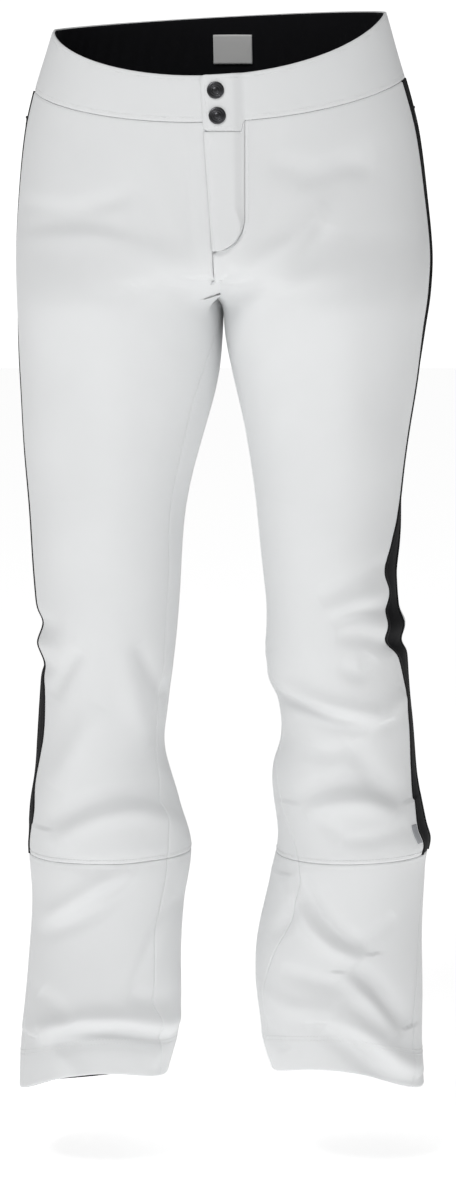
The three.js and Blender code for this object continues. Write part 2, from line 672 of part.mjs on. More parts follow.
Object.keys(SNAPS).forEach((which, i) => {
  const frame = snapFrames[i];
  pants.add(frame);
  const hole = holeRadius;
  add(`snap_post_${which}`, turned([
    [0, postTop - 1.6], [5.2, postTop - 1.6], [5.6, postTop - LAYER_GAP], [SHANK_RADIUS, postTop - LAYER_GAP],
    [SHANK_RADIUS, 1.4], [0, 1.4],
  ]), NICKEL, frame);
  add(`snap_stud_${which}`, turned([
    [hole, 0.3], [STUD_RADIUS, 0.3], [STUD_RADIUS, 0.8], [2.4, 0.9], [2.8, 1.3], [2.5, 1.7], [hole, 1.7],
      [hole, 0.3],
  ]), NICKEL, frame);
  add(`snap_socket_${which}`, turned([
    [3.2, 1.2], [SOCKET_RADIUS, 1.2], [SOCKET_RADIUS, 2.4], [hole, 2.4], [hole, 2.0], [3.2, 2.0], [3.2, 1.2],
  ]), NICKEL, frame);
  const rim = TAB_OUTER + LAYER_GAP;
  add(`snap_cap_${which}`, turned([
    [0, 2.1], [SHANK_RADIUS, 2.1], [SHANK_RADIUS, rim], [CAP_RADIUS, rim], [CAP_RADIUS, rim + 0.9],
    [CAP_RADIUS - 1.6, rim + 1.6], [3.2, rim + 1.3], [2.4, rim + 1.9], [0, rim + 2.1],
  ]), GUNMETAL, frame);
});

// ---- Zips ----

// One row of teeth: a spine with teeth towards the middle, drawn in plan and given the chain's depth.
function toothRow(hand, length) {
  const outer = ZIP.slot + ZIP.tooth;
  const root = ZIP.slot + ZIP.tooth * 0.45;
  const shape = new THREE.Shape();
  shape.moveTo(hand * outer, 0);
  shape.lineTo(hand * root, 0);
  for (let z = -TOOTH_PITCH * (hand > 0 ? 0.25 : 0.75); z > -length + TOOTH_PITCH; z -= TOOTH_PITCH) {
    shape.lineTo(hand * root, z);
    shape.lineTo(hand * ZIP.slot, z);
    shape.lineTo(hand * ZIP.slot, z - TOOTH_PITCH / 2);
    shape.lineTo(hand * root, z - TOOTH_PITCH / 2);
  }
  shape.lineTo(hand * root, -length);
  shape.lineTo(hand * outer, -length);
  return new THREE.ExtrudeGeometry(shape, { depth: ZIP.toothDepth, bevelEnabled: false })
    .rotateX(Math.PI / 2)
    .translate(0, ZIP.axisDepth + ZIP.toothDepth / 2, 0);
}

// The slider: a plate before and a plate behind the chain, a bridge between them at the top, and a pin for
// the pull.
function sliderGeometry(pinHeight) {
  const half = ZIP.sliderWidth / 2;
  const chainFront = ZIP.axisDepth - ZIP.toothDepth / 2 - ZIP.plateGap;
  const chainBack = ZIP.axisDepth + ZIP.toothDepth / 2 + ZIP.plateGap;
  const pinY = chainFront - ZIP.plate - pinHeight;
  const pinZ = -ZIP.sliderLength * 0.3;
  const lug = (x) => block([x - 0.5, pinY - 0.7, pinZ - 1.2], [x + 0.5, chainFront - ZIP.plate / 2,
    pinZ + 1.2]);
  return joined(
    block([-half, chainFront - ZIP.plate, -ZIP.sliderLength], [half, chainFront, 0]),
    block([-half, chainBack, -ZIP.sliderLength], [half, chainBack + ZIP.plate, 0]),
    block([-ZIP.bridge / 2, chainFront - ZIP.plate / 2, -3], [ZIP.bridge / 2, chainBack + ZIP.plate / 2, 0]),
    lug(-2),
    lug(2),
    new THREE.CylinderGeometry(ZIP.pinRadius, ZIP.pinRadius, 4, 10).rotateZ(Math.PI / 2).translate(0, pinY,
      pinZ),
  );
}

// The pull hangs on the slider's pin: an eye round the pin, a neck and a flat grip.
function pullGeometry(length) {
  const ring = ZIP.eyeRadius + ZIP.eyeRing;
  const half = ZIP.pullWidth / 2;
  const neck = 1.2;
  const eye = cut(
    new THREE.CylinderGeometry(ring, ring, 2 * neck, 16).rotateZ(Math.PI / 2),
    new THREE.CylinderGeometry(ZIP.eyeRadius, ZIP.eyeRadius, 4 * neck, 12).rotateZ(Math.PI / 2),
  );
  const t = ZIP.pullThickness / 2;
  const grip = new THREE.Shape();
  grip.moveTo(-neck, -ring + 0.35);
  grip.lineTo(-neck, -4);
  grip.lineTo(-half, -6);
  grip.lineTo(-half, -length + 1.5);
  grip.quadraticCurveTo(-half, -length, 0, -length);
  grip.quadraticCurveTo(half, -length, half, -length + 1.5);
  grip.lineTo(half, -6);
  grip.lineTo(neck, -4);
  grip.lineTo(neck, -ring + 0.35);
  const plate = new THREE.ExtrudeGeometry(grip, { depth: 2 * t, bevelEnabled: false, curveSegments: 4 })
    .rotateX(Math.PI / 2)
    .translate(0, t, 0);
  return joined(eye, facingOut(mergeVertices(bareCopy(plate))));
}

const bareCopy = (geometry) =>
  new THREE.BufferGeometry().setAttribute("position", geometry.getAttribute("position").clone());
const pinPlace = (pinHeight) => {
  const chainFront = ZIP.axisDepth - ZIP.toothDepth / 2 - ZIP.plateGap;
  return [0, chainFront - ZIP.plate - pinHeight, -ZIP.sliderLength * 0.3];
};
const outward = (geometry) => facingOut(mergeVertices(bareCopy(geometry)));

const fly = new THREE.Group();
const zipX = CENTRE_X + TURN * leanLine(FLY_ZIP_TOP_Z) + FLY_ZIP_FROM_CENTRE;
fly.position.copy(onFront(zipX, FLY_ZIP_TOP_Z, 0));
fly.rotation.x = -Math.atan(LEAN);
pants.add(fly);

const tapeInner = ZIP.slot + ZIP.tooth + 0.3;
for (const [side, hand] of [["left", 1], ["right", -1]]) {
  const near = hand * tapeInner;
  const far = hand * (tapeInner + ZIP.tapeWidth);
  const tapeFront = ZIP.axisDepth - ZIP.tapeThickness / 2;
  add(`fly_zip_tape_${side}`,
    block([Math.min(near, far), tapeFront, -FLY_ZIP_LENGTH - 2], [Math.max(near, far),
      tapeFront + ZIP.tapeThickness, 2]),
    WHITE_TAPE, fly);
  add(`fly_zip_teeth_${side}`, outward(toothRow(hand, FLY_ZIP_LENGTH)), TEETH, fly);
  const stopInner = hand * ZIP.slot;
  const stopOuter = hand * (ZIP.slot + ZIP.tooth);
  add(`fly_zip_top_stop_${side}`,
    block(
      [Math.min(stopInner, stopOuter), ZIP.axisDepth - 1.3, 0.3],
      [Math.max(stopInner, stopOuter), ZIP.axisDepth + 1.3, 0.3 + STOP_LENGTH],
    ),
    NICKEL, fly);
}
const chainHalf = ZIP.slot + ZIP.tooth;
add("fly_zip_bottom_stop",
  block([-chainHalf, ZIP.axisDepth - 1.3, -FLY_ZIP_LENGTH - 0.3 - STOP_LENGTH], [chainHalf,
    ZIP.axisDepth + 1.3, -FLY_ZIP_LENGTH - 0.3]),
  NICKEL, fly);
add("fly_zip_slider", sliderGeometry(FLY_PIN_HEIGHT), NICKEL, fly);
add("fly_zip_pull", pullGeometry(FLY_PULL_LENGTH), NICKEL, fly).position.set(...pinPlace(FLY_PIN_HEIGHT));

// A strip of lining behind the fly, from its [across, depth] front outline.
function flyStrip(outline) {
  const back = outline.map(([x, y]) => [x, y + LINING]).reverse();
  return outward(bar([...outline, ...back], -FLY_ZIP_LENGTH - 2, -2));
}

// The facing that joins the left tape to the left panel, whose cloth recedes from the zip's plane beyond
// the fold.
add("fly_facing_left", flyStrip([[5, 1.1], [14.3, 1.1], [22, CLOTH + 2.1], [31, CLOTH + 2.9]]),
  WHITE_CLOTH, fly);

// The shield behind the zip, and its edge that is sewn to the right panel.
const shieldFace = CLOTH + 2 * LAYER_GAP;
const shieldDepth = 6.4;
add("fly_shield",
  outward(bar([
    [-16.5, shieldFace], [-14.6, shieldFace], [-14.6, shieldDepth], [12, shieldDepth], [12,
      shieldDepth + LINING],
    [-16.5, shieldDepth + LINING],
  ], -FLY_ZIP_LENGTH - 2, -2)),
  WHITE_CLOTH, fly);

// ---- Hand pockets ----

// A point over the flats of the front panel, so many columns in from its outer edge and so many rows up.
function onFrontPanel(side, columns, rows, height) {
  const corner = (column, row) => {
    const { angle, z } = crossing(side, frontRows(side)[row], (rowZ) =>
      lerp(pastPiping(stripeFront(side), 1)(rowZ), flyEdge(side)(rowZ), column / FRONT_COLUMNS));
    return onFace(side, angle, z, height);
  };
  const [c, r] = [Math.floor(columns), Math.floor(rows)];
  const along = (row) => corner(c, row).lerp(corner(c + 1, row), columns - c);
  return along(r).lerp(along(r + 1), rows - r);
}

// The bag's edges and folds, in columns and in rows of the front panel. It ends beside the top of the zip.
const BAG_COLUMNS = [0.3, 1, 2, 3, 4];
const bagRows = frontRows("left").flatMap((row, i) => (row >= CROTCH_LEVEL && row <= -115 ? [i] : []));
bagRows.push(bagRows[bagRows.length - 1] + 0.65);

for (const side of SIDES) {
  // The zip is straight, along the chord between two points of the hip.
  const place = (level) => {
    const z = levelHeight(side, 0, level);
    return { angle: angleAhead(STRIPE_AHEAD[side] - POCKET_ZIP_BEHIND, z), z };
  };
  const topPlace = place(POCKET_TOP_LEVEL);
  const lowPlace = place(POCKET_TOP_LEVEL - POCKET_ZIP_LENGTH);
  const middle = place(POCKET_TOP_LEVEL - POCKET_ZIP_LENGTH / 2);
  const high = onFace(side, topPlace.angle, topPlace.z, -0.6);
  const low = onFace(side, lowPlace.angle, lowPlace.z, -0.6);
  const inward = faceNormal(side, middle.angle, middle.z).negate();
  const up = high.clone().sub(low).normalize();
  const across = new THREE.Vector3().crossVectors(inward, up).normalize();
  const depth = new THREE.Vector3().crossVectors(up, across).normalize();
  const frame = new THREE.Group();
  frame.applyMatrix4(new THREE.Matrix4().makeBasis(across, depth, up).setPosition(high));
  pants.add(frame);

  const tapeFront = ZIP.axisDepth - ZIP.tapeThickness / 2;
  const chainLength = high.distanceTo(low);
  const chain = cut(
    joined(
      block([-POCKET_TAPE_HALF, tapeFront, -chainLength], [POCKET_TAPE_HALF, tapeFront + ZIP.tapeThickness,
        1.5]),
      block([-chainHalf, ZIP.axisDepth - ZIP.toothDepth / 2, -chainLength],
        [chainHalf, ZIP.axisDepth + ZIP.toothDepth / 2, 1.5]),
    ),
    block([-ZIP.slot, ZIP.axisDepth - 3, -chainLength + 2], [ZIP.slot, ZIP.axisDepth + 3, 0.4]),
  );
  add(`pocket_zip_${side}`, chain, BLACK_COIL, frame);
  add(`pocket_slider_${side}`, sliderGeometry(POCKET_PIN_HEIGHT), BLACK_COIL, frame);
  add(`pocket_pull_${side}`, pullGeometry(POCKET_PULL_LENGTH), BLACK_COIL, frame)
    .position.set(...pinPlace(POCKET_PIN_HEIGHT));

  // The bag lies flat against the inside of the front panel, its edge under the zip's tape.
  add(`pocket_bag_${side}`,
    sheet(BAG_COLUMNS.length - 1, bagRows.length - 1, (column, row, layer) =>
      onFrontPanel(side, BAG_COLUMNS[column], bagRows[row], -CLOTH - LAYER_GAP - layer * 2 * LINING)),
    BLACK_LINING);
}

// A small grey badge low on the left leg, just ahead of the stripe.
add("calf_badge",
  sheet(1, 1, (column, row, layer) =>
    onFrontPanel("left", BADGE_ACROSS[column], BADGE_UP[row], LAYER_GAP + (1 - layer) * 0.6)),
  GREY_BADGE);

export default pants;
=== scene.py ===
"""White softshell ski pants, hanging as worn. Measures are millimetres until a mesh is made of them."""

import bpy
import numpy as np
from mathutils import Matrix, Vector


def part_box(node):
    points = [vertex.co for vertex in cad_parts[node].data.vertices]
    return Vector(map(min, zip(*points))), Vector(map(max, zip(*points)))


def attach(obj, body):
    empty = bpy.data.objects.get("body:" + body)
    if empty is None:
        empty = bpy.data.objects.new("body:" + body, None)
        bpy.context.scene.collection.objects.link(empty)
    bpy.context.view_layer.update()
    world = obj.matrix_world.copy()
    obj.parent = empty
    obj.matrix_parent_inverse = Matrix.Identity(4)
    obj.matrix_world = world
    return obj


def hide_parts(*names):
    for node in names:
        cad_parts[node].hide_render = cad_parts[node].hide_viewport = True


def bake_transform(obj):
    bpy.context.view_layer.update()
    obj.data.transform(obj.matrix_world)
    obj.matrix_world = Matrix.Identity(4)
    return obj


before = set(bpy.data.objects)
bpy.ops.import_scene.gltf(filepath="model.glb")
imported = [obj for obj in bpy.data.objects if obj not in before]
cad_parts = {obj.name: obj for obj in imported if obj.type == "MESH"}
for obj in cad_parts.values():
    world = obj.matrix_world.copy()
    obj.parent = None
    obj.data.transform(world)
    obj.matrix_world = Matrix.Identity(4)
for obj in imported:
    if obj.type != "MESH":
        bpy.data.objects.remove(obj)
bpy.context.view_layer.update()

MM = 0.001
SIGN = {"left": 1, "right": -1}
SIDES = ("left", "right")
QUARTER = np.pi / 2

# ---- The body of the garment, as its frame has it ----

CLOTH, LINING, LAYER_GAP, SEAM_GAP = 1.6, 1.1, 0.4, 0.4
WAIST_LEVEL, WAISTBAND_DEPTH = -6.5, 59.5
SEAM_LEVEL = WAIST_LEVEL - WAISTBAND_DEPTH
HIP_LEVEL, CROTCH_LEVEL, CALF_SEAM_LEVEL, HEM_LEVEL = -200, -265, -809, -1042
FRONT_DIP, BACK_RISE, HIP_TILT = 54.5, 8, 8.5
CENTRE_X, CENTRE_CLEARANCE, TURN = 0.5, 0.3, 0.08
FRONT_CURVE, BACK_CURVE = 62, 130
STRIPE_WIDTH, STRIPE_AHEAD = 30, {"left": 20, "right": 12}
BADGE_ACROSS = (3.5, 12.5)  # from the piping's edge forward
PIPING_WIDTH, PIPING_HEIGHT = 2.4, 1.2
LEAN, LEAN_START_Z, LEAN_START_Y, LEAN_END_Z = 22 / 163, -59, -98, -222
YOKE_DEPTH, YOKE_DROP = 32, 38  # at the side, and how much lower at the centre back
FOLD_X, FLAP_EDGE_TOP_X, FLAP_EDGE_DRIFT = 20.7, -21.7, 11.7 / 163
FLAP_BOTTOM_Z, TAB_BOTTOM_Z, FLAP_BULGE = -222, -111.5, 2.4
UNDERLAP_END_X = 12.5
# The fly's stitching curves in below this height, over this depth, to this place beside the centre seam.
CURVE_TOP_Z, CURVE_DEPTH, CURVE_FOOT_X = -190, 32, -8.6
EDGE = np.radians(0.05)  # half the gap where two panels meet
POCKET_TOP_LEVEL, POCKET_ZIP_LENGTH, POCKET_SLOT = -90, 118, 13
HEM_ROW = 1 / 7  # share of the lower leg that the hem facing and its stitching take
GAITER_ROW = 5 / 7
GAITER_HEM_LEVEL, GAITER_ELASTIC = HEM_LEVEL + 34, 24
GAITER_HALF = (50, 57)
SNAPS = {"upper": (-6.6, -74), "lower": (-5, -97.4)}


def smoothstep(value, low, high):
    """Nought below low and one above high, with a smooth cubic rise between."""
    t = np.clip((value - low) / (high - low), 0, 1)
    return t * t * (3 - 2 * t)


def lerp(a, b, share):
    """A straight blend from a to b."""
    return a + (b - a) * share


def curve(points):
    """A smooth cubic through (height, value) pairs listed downwards, each slope the chord of its
    neighbours."""
    z, v = np.array(points[::-1], float).T
    low, high = np.maximum(np.arange(len(z)) - 1, 0), np.minimum(np.arange(len(z)) + 1, len(z) - 1)
    slope = (v[high] - v[low]) / (z[high] - z[low])

    def at(height):
        k = np.clip(np.searchsorted(z, height) - 1, 0, len(z) - 2)
        span = z[k + 1] - z[k]
        t = np.clip((height - z[k]) / span, 0, 1)
        bends = t * (1 - t) ** 2 * slope[k] + t * t * (t - 1) * slope[k + 1]
        return v[k] + (v[k + 1] - v[k]) * t * t * (3 - 2 * t) + span * bends

    return at


OUTER = {
    "right": curve([
        (20, 150), (0, 157.5), (-37, 169.5), (-74, 181), (-112, 189.5), (-170, 195.5), (-226, 198),
        (-265, 196.5), (-300, 195), (-341, 193.5), (-400, 191), (-477, 186), (-555, 179), (-633, 176.5),
        (-712, 182), (-762, 188), (-805, 191), (-860, 188), (-911, 189.5), (-991, 198), (-1070, 202),
    ]),
    "left": curve([
        (20, 149), (0, 155.5), (-37, 166), (-74, 177), (-112, 186), (-170, 193.5), (-226, 199),
        (-265, 198), (-300, 193), (-341, 187), (-400, 179.5), (-477, 171), (-555, 171), (-614, 178),
        (-672, 183), (-732, 187), (-791, 199), (-831, 197), (-911, 194), (-991, 196), (-1070, 200),
    ]),
}
INNER = {
    "right": curve([
        (-265, CENTRE_CLEARANCE), (-300, 0.9), (-341, 5), (-400, 19), (-477, 37), (-555, 42), (-633, 49),
        (-712, 57), (-762, 44), (-805, 32), (-860, 39), (-911, 42), (-991, 44), (-1030, 54), (-1070, 66),
    ]),
    "left": curve([
        (-265, CENTRE_CLEARANCE), (-300, 2.4), (-341, 10), (-400, 23), (-477, 33), (-555, 42),
        (-614, 42), (-672, 56), (-732, 48), (-791, 53), (-831, 45), (-911, 32), (-991, 38), (-1030, 50),
        (-1070, 62),
    ]),
}


# How much farther forward than they were cut the worn cloth has drawn both edges of the stripe.
STRIPE_DRAWN = {
    "right": curve([
        (-60, 0), (-250, 0), (-560, 0), (-600, 4), (-640, 20), (-690, 25), (-735, 17), (-765, 23),
        (-800, 8),
    ]),
    "left": curve([
        (-60, 0), (-214, 5), (-262, 5), (-310, -3), (-350, -9), (-450, -12), (-480, -4), (-500, 8),
        (-530, 20), (-550, 12), (-568, 20), (-592, 25), (-614, 9), (-650, 0), (-730, 2), (-782, 14),
        (-800, 8),
    ]),
}


def lean_line(z):
    """The straight front below the waist, leaning back by LEAN for each millimetre of height."""
    return LEAN_START_Y + LEAN * (z - LEAN_START_Z)


thigh_front = curve([
    (LEAN_END_Z, lean_line(LEAN_END_Z)), (-245, -121.8), (-270, -119.5), (-300, -114.5), (-341, -106.5),
    (-400, -97.5), (-477, -90), (-555, -84), (-633, -76), (-712, -70), (-800, -74), (-860, -70),
    (-950, -76), (-1070, -86),
])
back_y = curve([
    (20, 97), (0, 103), (-60, 119), (-120, 138), (-180, 149), (-225, 148), (-265, 138), (-300, 122),
    (-341, 107), (-400, 92), (-477, 80), (-555, 72), (-633, 76), (-712, 87), (-800, 88), (-860, 80),
    (-950, 80), (-1070, 88),
])
INSEAM_AHEAD = {
    "right": curve([(-265, 0), (-330, 26), (-400, 32), (-555, 27), (-720, 24), (-809, 38), (-940, 42),
                    (-1042, 16)]),
    "left": curve([(-265, 0), (-330, -6), (-400, -8), (-600, 4), (-760, 30), (-840, 56), (-940, 30),
                   (-1042, 15)]),
}
fullness = curve([
    (20, 1), (-60, 0.95), (-120, 0.86), (-180, 0.76), (-230, 0.7), (-265, 0.74), (-320, 0.88),
    (-400, 0.97), (-480, 1), (-1070, 1),
])


def front_y(z):
    """The lean line above the fly's foot and the thigh's curve below it."""
    return np.where(z > LEAN_END_Z, lean_line(z), thigh_front(z))


def halves(side, angle, z):
    """Half width and middle of the cross-section: a leg's own below the crotch, above it one that widens
    as the square of the height's share of the crotch curve, until it meets the centre plane square on."""
    outer, inner = OUTER[side](z), INNER[side](z)
    rise = np.where(np.sin(angle) >= 0, FRONT_CURVE, BACK_CURVE)
    closed = np.clip(1 - (z - CROTCH_LEVEL) / rise, 0, 1) ** 2
    hip = (outer - CENTRE_CLEARANCE) / (1 + closed)
    below = z < CROTCH_LEVEL
    return np.where(below, (outer - inner) / 2, hip), np.where(below, (outer + inner) / 2, outer - hip)


def face(side, angle, z):
    """The smooth outer face: an oval whose depth goes as the sine to the power of the fullness, sheared
    sideways by TURN for each millimetre of depth. The angle is nought on the side line and a quarter turn
    at the front."""
    half, middle = halves(side, angle, z)
    front, back, s = front_y(z), back_y(z), np.sin(angle)
    y = (front + back) / 2 - np.sign(s) * np.abs(s) ** fullness(z) * (back - front) / 2
    x = CENTRE_X + SIGN[side] * (middle + half * np.cos(angle)) + TURN * y
    return np.stack(np.broadcast_arrays(x, y, z), -1)


def unit(vectors):
    """The vectors at length one."""
    return vectors / np.linalg.norm(vectors, axis=-1, keepdims=True)


def outward(side, angle, z):
    """The outward normal of the smooth face, from its slope over 0.002 radians and half a millimetre."""
    along = face(side, angle + 0.002, z) - face(side, angle - 0.002, z)
    up = face(side, angle, z + 0.5) - face(side, angle, z - 0.5)
    return -SIGN[side] * unit(np.cross(along, up))


def level_height(side, angle, level):
    """The height of a level: the waist dips at the front, rises at the back and tilts, and this fades
    downwards."""
    s = np.sin(angle)
    dip = np.where(s > 0, -FRONT_DIP * np.abs(s) ** 1.5, -BACK_RISE * s)
    return level + np.clip(1 - level / HIP_LEVEL, 0, 1.2) * (dip + SIGN[side] * HIP_TILT * np.cos(angle))


def hem_height(side, angle):
    """The hem, which rides up over the instep with the square of the sine and drops at the heel."""
    s = np.sin(angle)
    tilt = {"left": 9, "right": 6}[side]
    return HEM_LEVEL + np.where(s > 0, 23 * s * s, 19 * s) + tilt * (1 - np.cos(angle))


def angle_ahead(distance, z):
    """The angle at which the cloth has run this far forward from the side line."""
    share = np.clip(distance / ((back_y(z) - front_y(z)) / 2), -1, 1)
    return np.sign(share) * np.arcsin(np.abs(share) ** (1 / fullness(z)))


def centre_angle(side, towards, z):
    """The angle at which one half meets the other, at the front or the back."""
    half, middle = halves(side, towards * 0.5 + 0 * z, z)
    return towards * np.arccos(np.clip((CENTRE_CLEARANCE - middle) / half, -1, 1))


def angle_at_x(side, x, z):
    """The front angle at which the face has a given x, found by halving."""
    low, high = np.full(np.shape(x + 0 * z), np.radians(40)), np.full(np.shape(x + 0 * z), np.radians(178))
    for _ in range(30):
        middle = (low + high) / 2
        beyond = SIGN[side] * (face(side, middle, z + 0 * middle)[..., 0] - x) > 0
        low, high = np.where(beyond, middle, low), np.where(beyond, high, middle)
    return (low + high) / 2


# ---- Folds: (form, height, width, route), the route in x and z as the wearer's front is seen ----

FOLD_STRENGTH = 1.55
RIDGE, ROLL = "ridge", "roll"  # a roll is raised above its line and sunk below it
FOLDS = {
    "right": [
        (RIDGE, -2.2, 9, [(-190, -180), (-163, -183), (-138, -184), (-112, -178), (-85, -168)]),
        (RIDGE, 2.0, 12, [(-190, -214), (-150, -211), (-105, -210), (-75, -222), (-20, -242)]),
        (RIDGE, -2.0, 9, [(-182, -198), (-150, -195), (-118, -196), (-88, -205)]),
        (RIDGE, -1.2, 16, [(-150, -240), (-115, -246), (-75, -243)]),
        (RIDGE, -1.8, 5, [(-40, -248), (-28, -257), (-14, -268)]),
        (RIDGE, -1.0, 9, [(-34, -128), (-31, -175), (-27, -212)]),
        (RIDGE, -1.6, 26, [(-142, -270), (-147, -362), (-142, -456)]),
        (RIDGE, 1.4, 24, [(-95, -300), (-100, -400), (-110, -520)]),
        (RIDGE, -2.6, 8, [(-136, -600), (-149, -620), (-164, -650)]),
        (RIDGE, -2.4, 8, [(-80, -597), (-69, -623), (-55, -655)]),
        (RIDGE, 2.2, 11, [(-96, -599), (-88, -638), (-79, -671), (-68, -705)]),
        (RIDGE, -2.2, 6, [(-51, -636), (-60, -662), (-70, -700)]),
        (RIDGE, 2.4, 13, [(-117, -655), (-138, -693), (-162, -736)]),
        (ROLL, -3.4, 13, [(-162, -778), (-125, -757), (-88, -751), (-55, -762), (-32, -782)]),
        (RIDGE, -3.0, 9, [(-62, -806), (-98, -836), (-132, -860), (-175, -882)]),
        (RIDGE, 2.6, 9, [(-90, -812), (-127, -834), (-170, -866)]),
        (RIDGE, -2.6, 7, [(-44, -850), (-64, -878), (-75, -904), (-88, -932)]),
        (ROLL, 5.2, 12, [(-176, -982), (-142, -970), (-118, -967), (-89, -970), (-42, -985)]),
        (RIDGE, -2.8, 9, [(-178, -938), (-161, -950), (-145, -965)]),
        (RIDGE, -2.8, 9, [(-90, -937), (-70, -946), (-48, -951)]),
        (RIDGE, 2.2, 10, [(-176, -976), (-155, -995), (-134, -1022)]),
        (RIDGE, -2.0, 9, [(-44, -986), (-53, -1007), (-66, -1025)]),
        (RIDGE, -1.6, 8, [(-160, -802), (-122, -812), (-89, -810), (-46, -808)]),
    ],
    "left": [
        (RIDGE, 2.8, 10, [(10, -251), (37, -231), (63, -214), (82, -195), (96, -178)]),
        (RIDGE, -3.0, 12, [(12, -255), (40, -247), (68, -234), (88, -215), (94, -196)]),
        (RIDGE, -1.8, 5, [(0, -240), (9, -253), (14, -263)]),
        (RIDGE, -1.6, 5, [(18, -256), (13, -266), (7, -274)]),
        (RIDGE, -1.8, 12, [(44, -140), (91, -148), (142, -126)]),
        (RIDGE, -1.8, 10, [(70, -162), (112, -142), (142, -146)]),
        (RIDGE, -2.0, 25, [(70, -256), (75, -324), (73, -390), (64, -460)]),
        (RIDGE, 1.4, 24, [(120, -280), (122, -380), (118, -500)]),
        (RIDGE, -2.4, 9, [(92, -553), (120, -538), (158, -518)]),
        (RIDGE, -2.4, 8, [(103, -575), (130, -565), (164, -567)]),
        (RIDGE, -2.4, 8, [(107, -588), (135, -589), (168, -600)]),
        (RIDGE, 2.0, 10, [(100, -564), (130, -552), (162, -545)]),
        (RIDGE, -2.2, 9, [(110, -616), (131, -624), (144, -608)]),
        (ROLL, 4.2, 11, [(38, -610), (54, -636), (75, -651), (104, -662), (146, -672)]),
        (RIDGE, 2.8, 11, [(176, -650), (150, -667), (121, -693)]),
        (RIDGE, -2.8, 11, [(122, -690), (142, -720), (170, -754)]),
        (RIDGE, -2.6, 9, [(58, -686), (93, -701), (125, -696)]),
        (ROLL, -3.6, 13, [(74, -754), (107, -741), (138, -741), (170, -754)]),
        (RIDGE, -1.8, 8, [(76, -753), (95, -767), (114, -782)]),
        (RIDGE, -1.8, 8, [(115, -785), (145, -784), (178, -776)]),
        (ROLL, -4.0, 11, [(68, -824), (85, -858), (107, -882), (136, -898)]),
        (RIDGE, -2.2, 9, [(131, -890), (147, -878), (168, -863)]),
        (RIDGE, -2.6, 9, [(56, -916), (91, -923), (128, -930)]),
        (ROLL, -4.0, 11, [(120, -914), (145, -938), (172, -976)]),
        (ROLL, 4.8, 12, [(102, -963), (132, -983), (157, -1005), (188, -1028)]),
        (RIDGE, 2.2, 10, [(38, -936), (65, -950), (105, -947)]),
        (RIDGE, 2.0, 9, [(112, -945), (137, -968), (170, -992)]),
        (RIDGE, -2.4, 7, [(77, -842), (64, -865), (48, -886)]),
        (RIDGE, -1.8, 8, [(41, -966), (50, -982), (59, -996)]),
    ],
}
# Behind: two under the seat, three at the back of the knee and four where the leg breaks over the boot.
BEHIND = [
    (RIDGE, -3.0, 12, [(20, -262), (60, -292), (120, -300), (176, -270)]),
    (RIDGE, -2.2, 12, [(30, -316), (85, -338), (150, -330)]),
    (ROLL, 3.0, 12, [(50, -560), (100, -572), (160, -556)]),
    (ROLL, 3.6, 12, [(52, -612), (110, -618), (170, -602)]),
    (RIDGE, -2.6, 10, [(70, -655), (120, -672), (176, -650)]),
    (RIDGE, -2.4, 12, [(60, -850), (110, -872), (170, -850)]),
    (ROLL, 3.8, 12, [(50, -915), (110, -930), (180, -908)]),
    (ROLL, 4.2, 12, [(50, -972), (120, -962), (182, -978)]),
    (RIDGE, 2.2, 12, [(80, -1000), (110, -1030), (120, -1052)]),
]
# Notches and bulges of the outline: (side, +1 outside or -1 inside of the leg, height, half height, depth)
OUTLINE = [
    ("right", 1, -581, 10, -4.5), ("right", 1, -601, 8, 2.5), ("right", 1, -621, 9, -3.0),
    ("left", 1, -548, 26, -3.5), ("left", 1, -582, 9, 3.0), ("left", 1, -600, 8, -3.0),
    ("left", 1, -798, 12, 2.5), ("left", -1, -640, 18, 6.0), ("left", -1, -700, 14, -2.0),
    ("right", -1, -700, 20, -2.0),
]


def smooth_route(points, steps=7):
    """A Catmull-Rom curve through the points, this many steps to each span."""
    p = np.array(points, float)
    p = np.vstack([2 * p[0] - p[1], p, 2 * p[-1] - p[-2]])
    t = np.arange(steps)[None, :, None] / steps
    a, b, c, d = (p[i : len(p) - 3 + i, None] for i in range(4))
    spans = 0.5 * (2 * b + (c - a) * t + (2 * a - 5 * b + 4 * c - d) * t**2 + (3 * b - a - 3 * c + d) * t**3)
    return np.vstack([spans.reshape(-1, 2), p[-2]])


def fold_height(x, z, form, height, width, route):
    """Height at (x, z) of one fold. With d the distance from the route over the width, a ridge is
    exp(-d^2), and a roll is 2.33 d exp(-d^2), positive above the route. Both taper off towards the ends
    of the route."""
    path = smooth_route(route)
    near = (np.abs(x - path[:, 0].mean()) < np.ptp(path[:, 0]) / 2 + 30 + 2 * width)
    near &= (z > path[:, 1].min() - 3 * width) & (z < path[:, 1].max() + 3 * width)
    out = np.zeros(np.shape(x))
    if not near.any():
        return out
    q, a, run = np.stack([x[near], z[near]], -1)[:, None], path[:-1], np.diff(path, axis=0)
    t = np.clip(((q - a) * run).sum(-1) / (run**2).sum(-1), 0, 1)
    gap = q - (a + t[..., None] * run)
    away = np.hypot(gap[..., 0], gap[..., 1])
    k = away.argmin(1)
    row = np.arange(len(k))
    d = away[row, k] / width
    along = (k + t[row, k]) / len(run)
    taper = 0.2 + 0.8 * np.sin(np.pi * along) ** 0.6
    if form == ROLL:
        d = d * np.sign(gap[row, k, 1] + 1e-9)
        out[near] = height * taper * 2.33 * d * np.exp(-(d**2))
    else:
        out[near] = height * taper * np.exp(-(d**2))
    return out


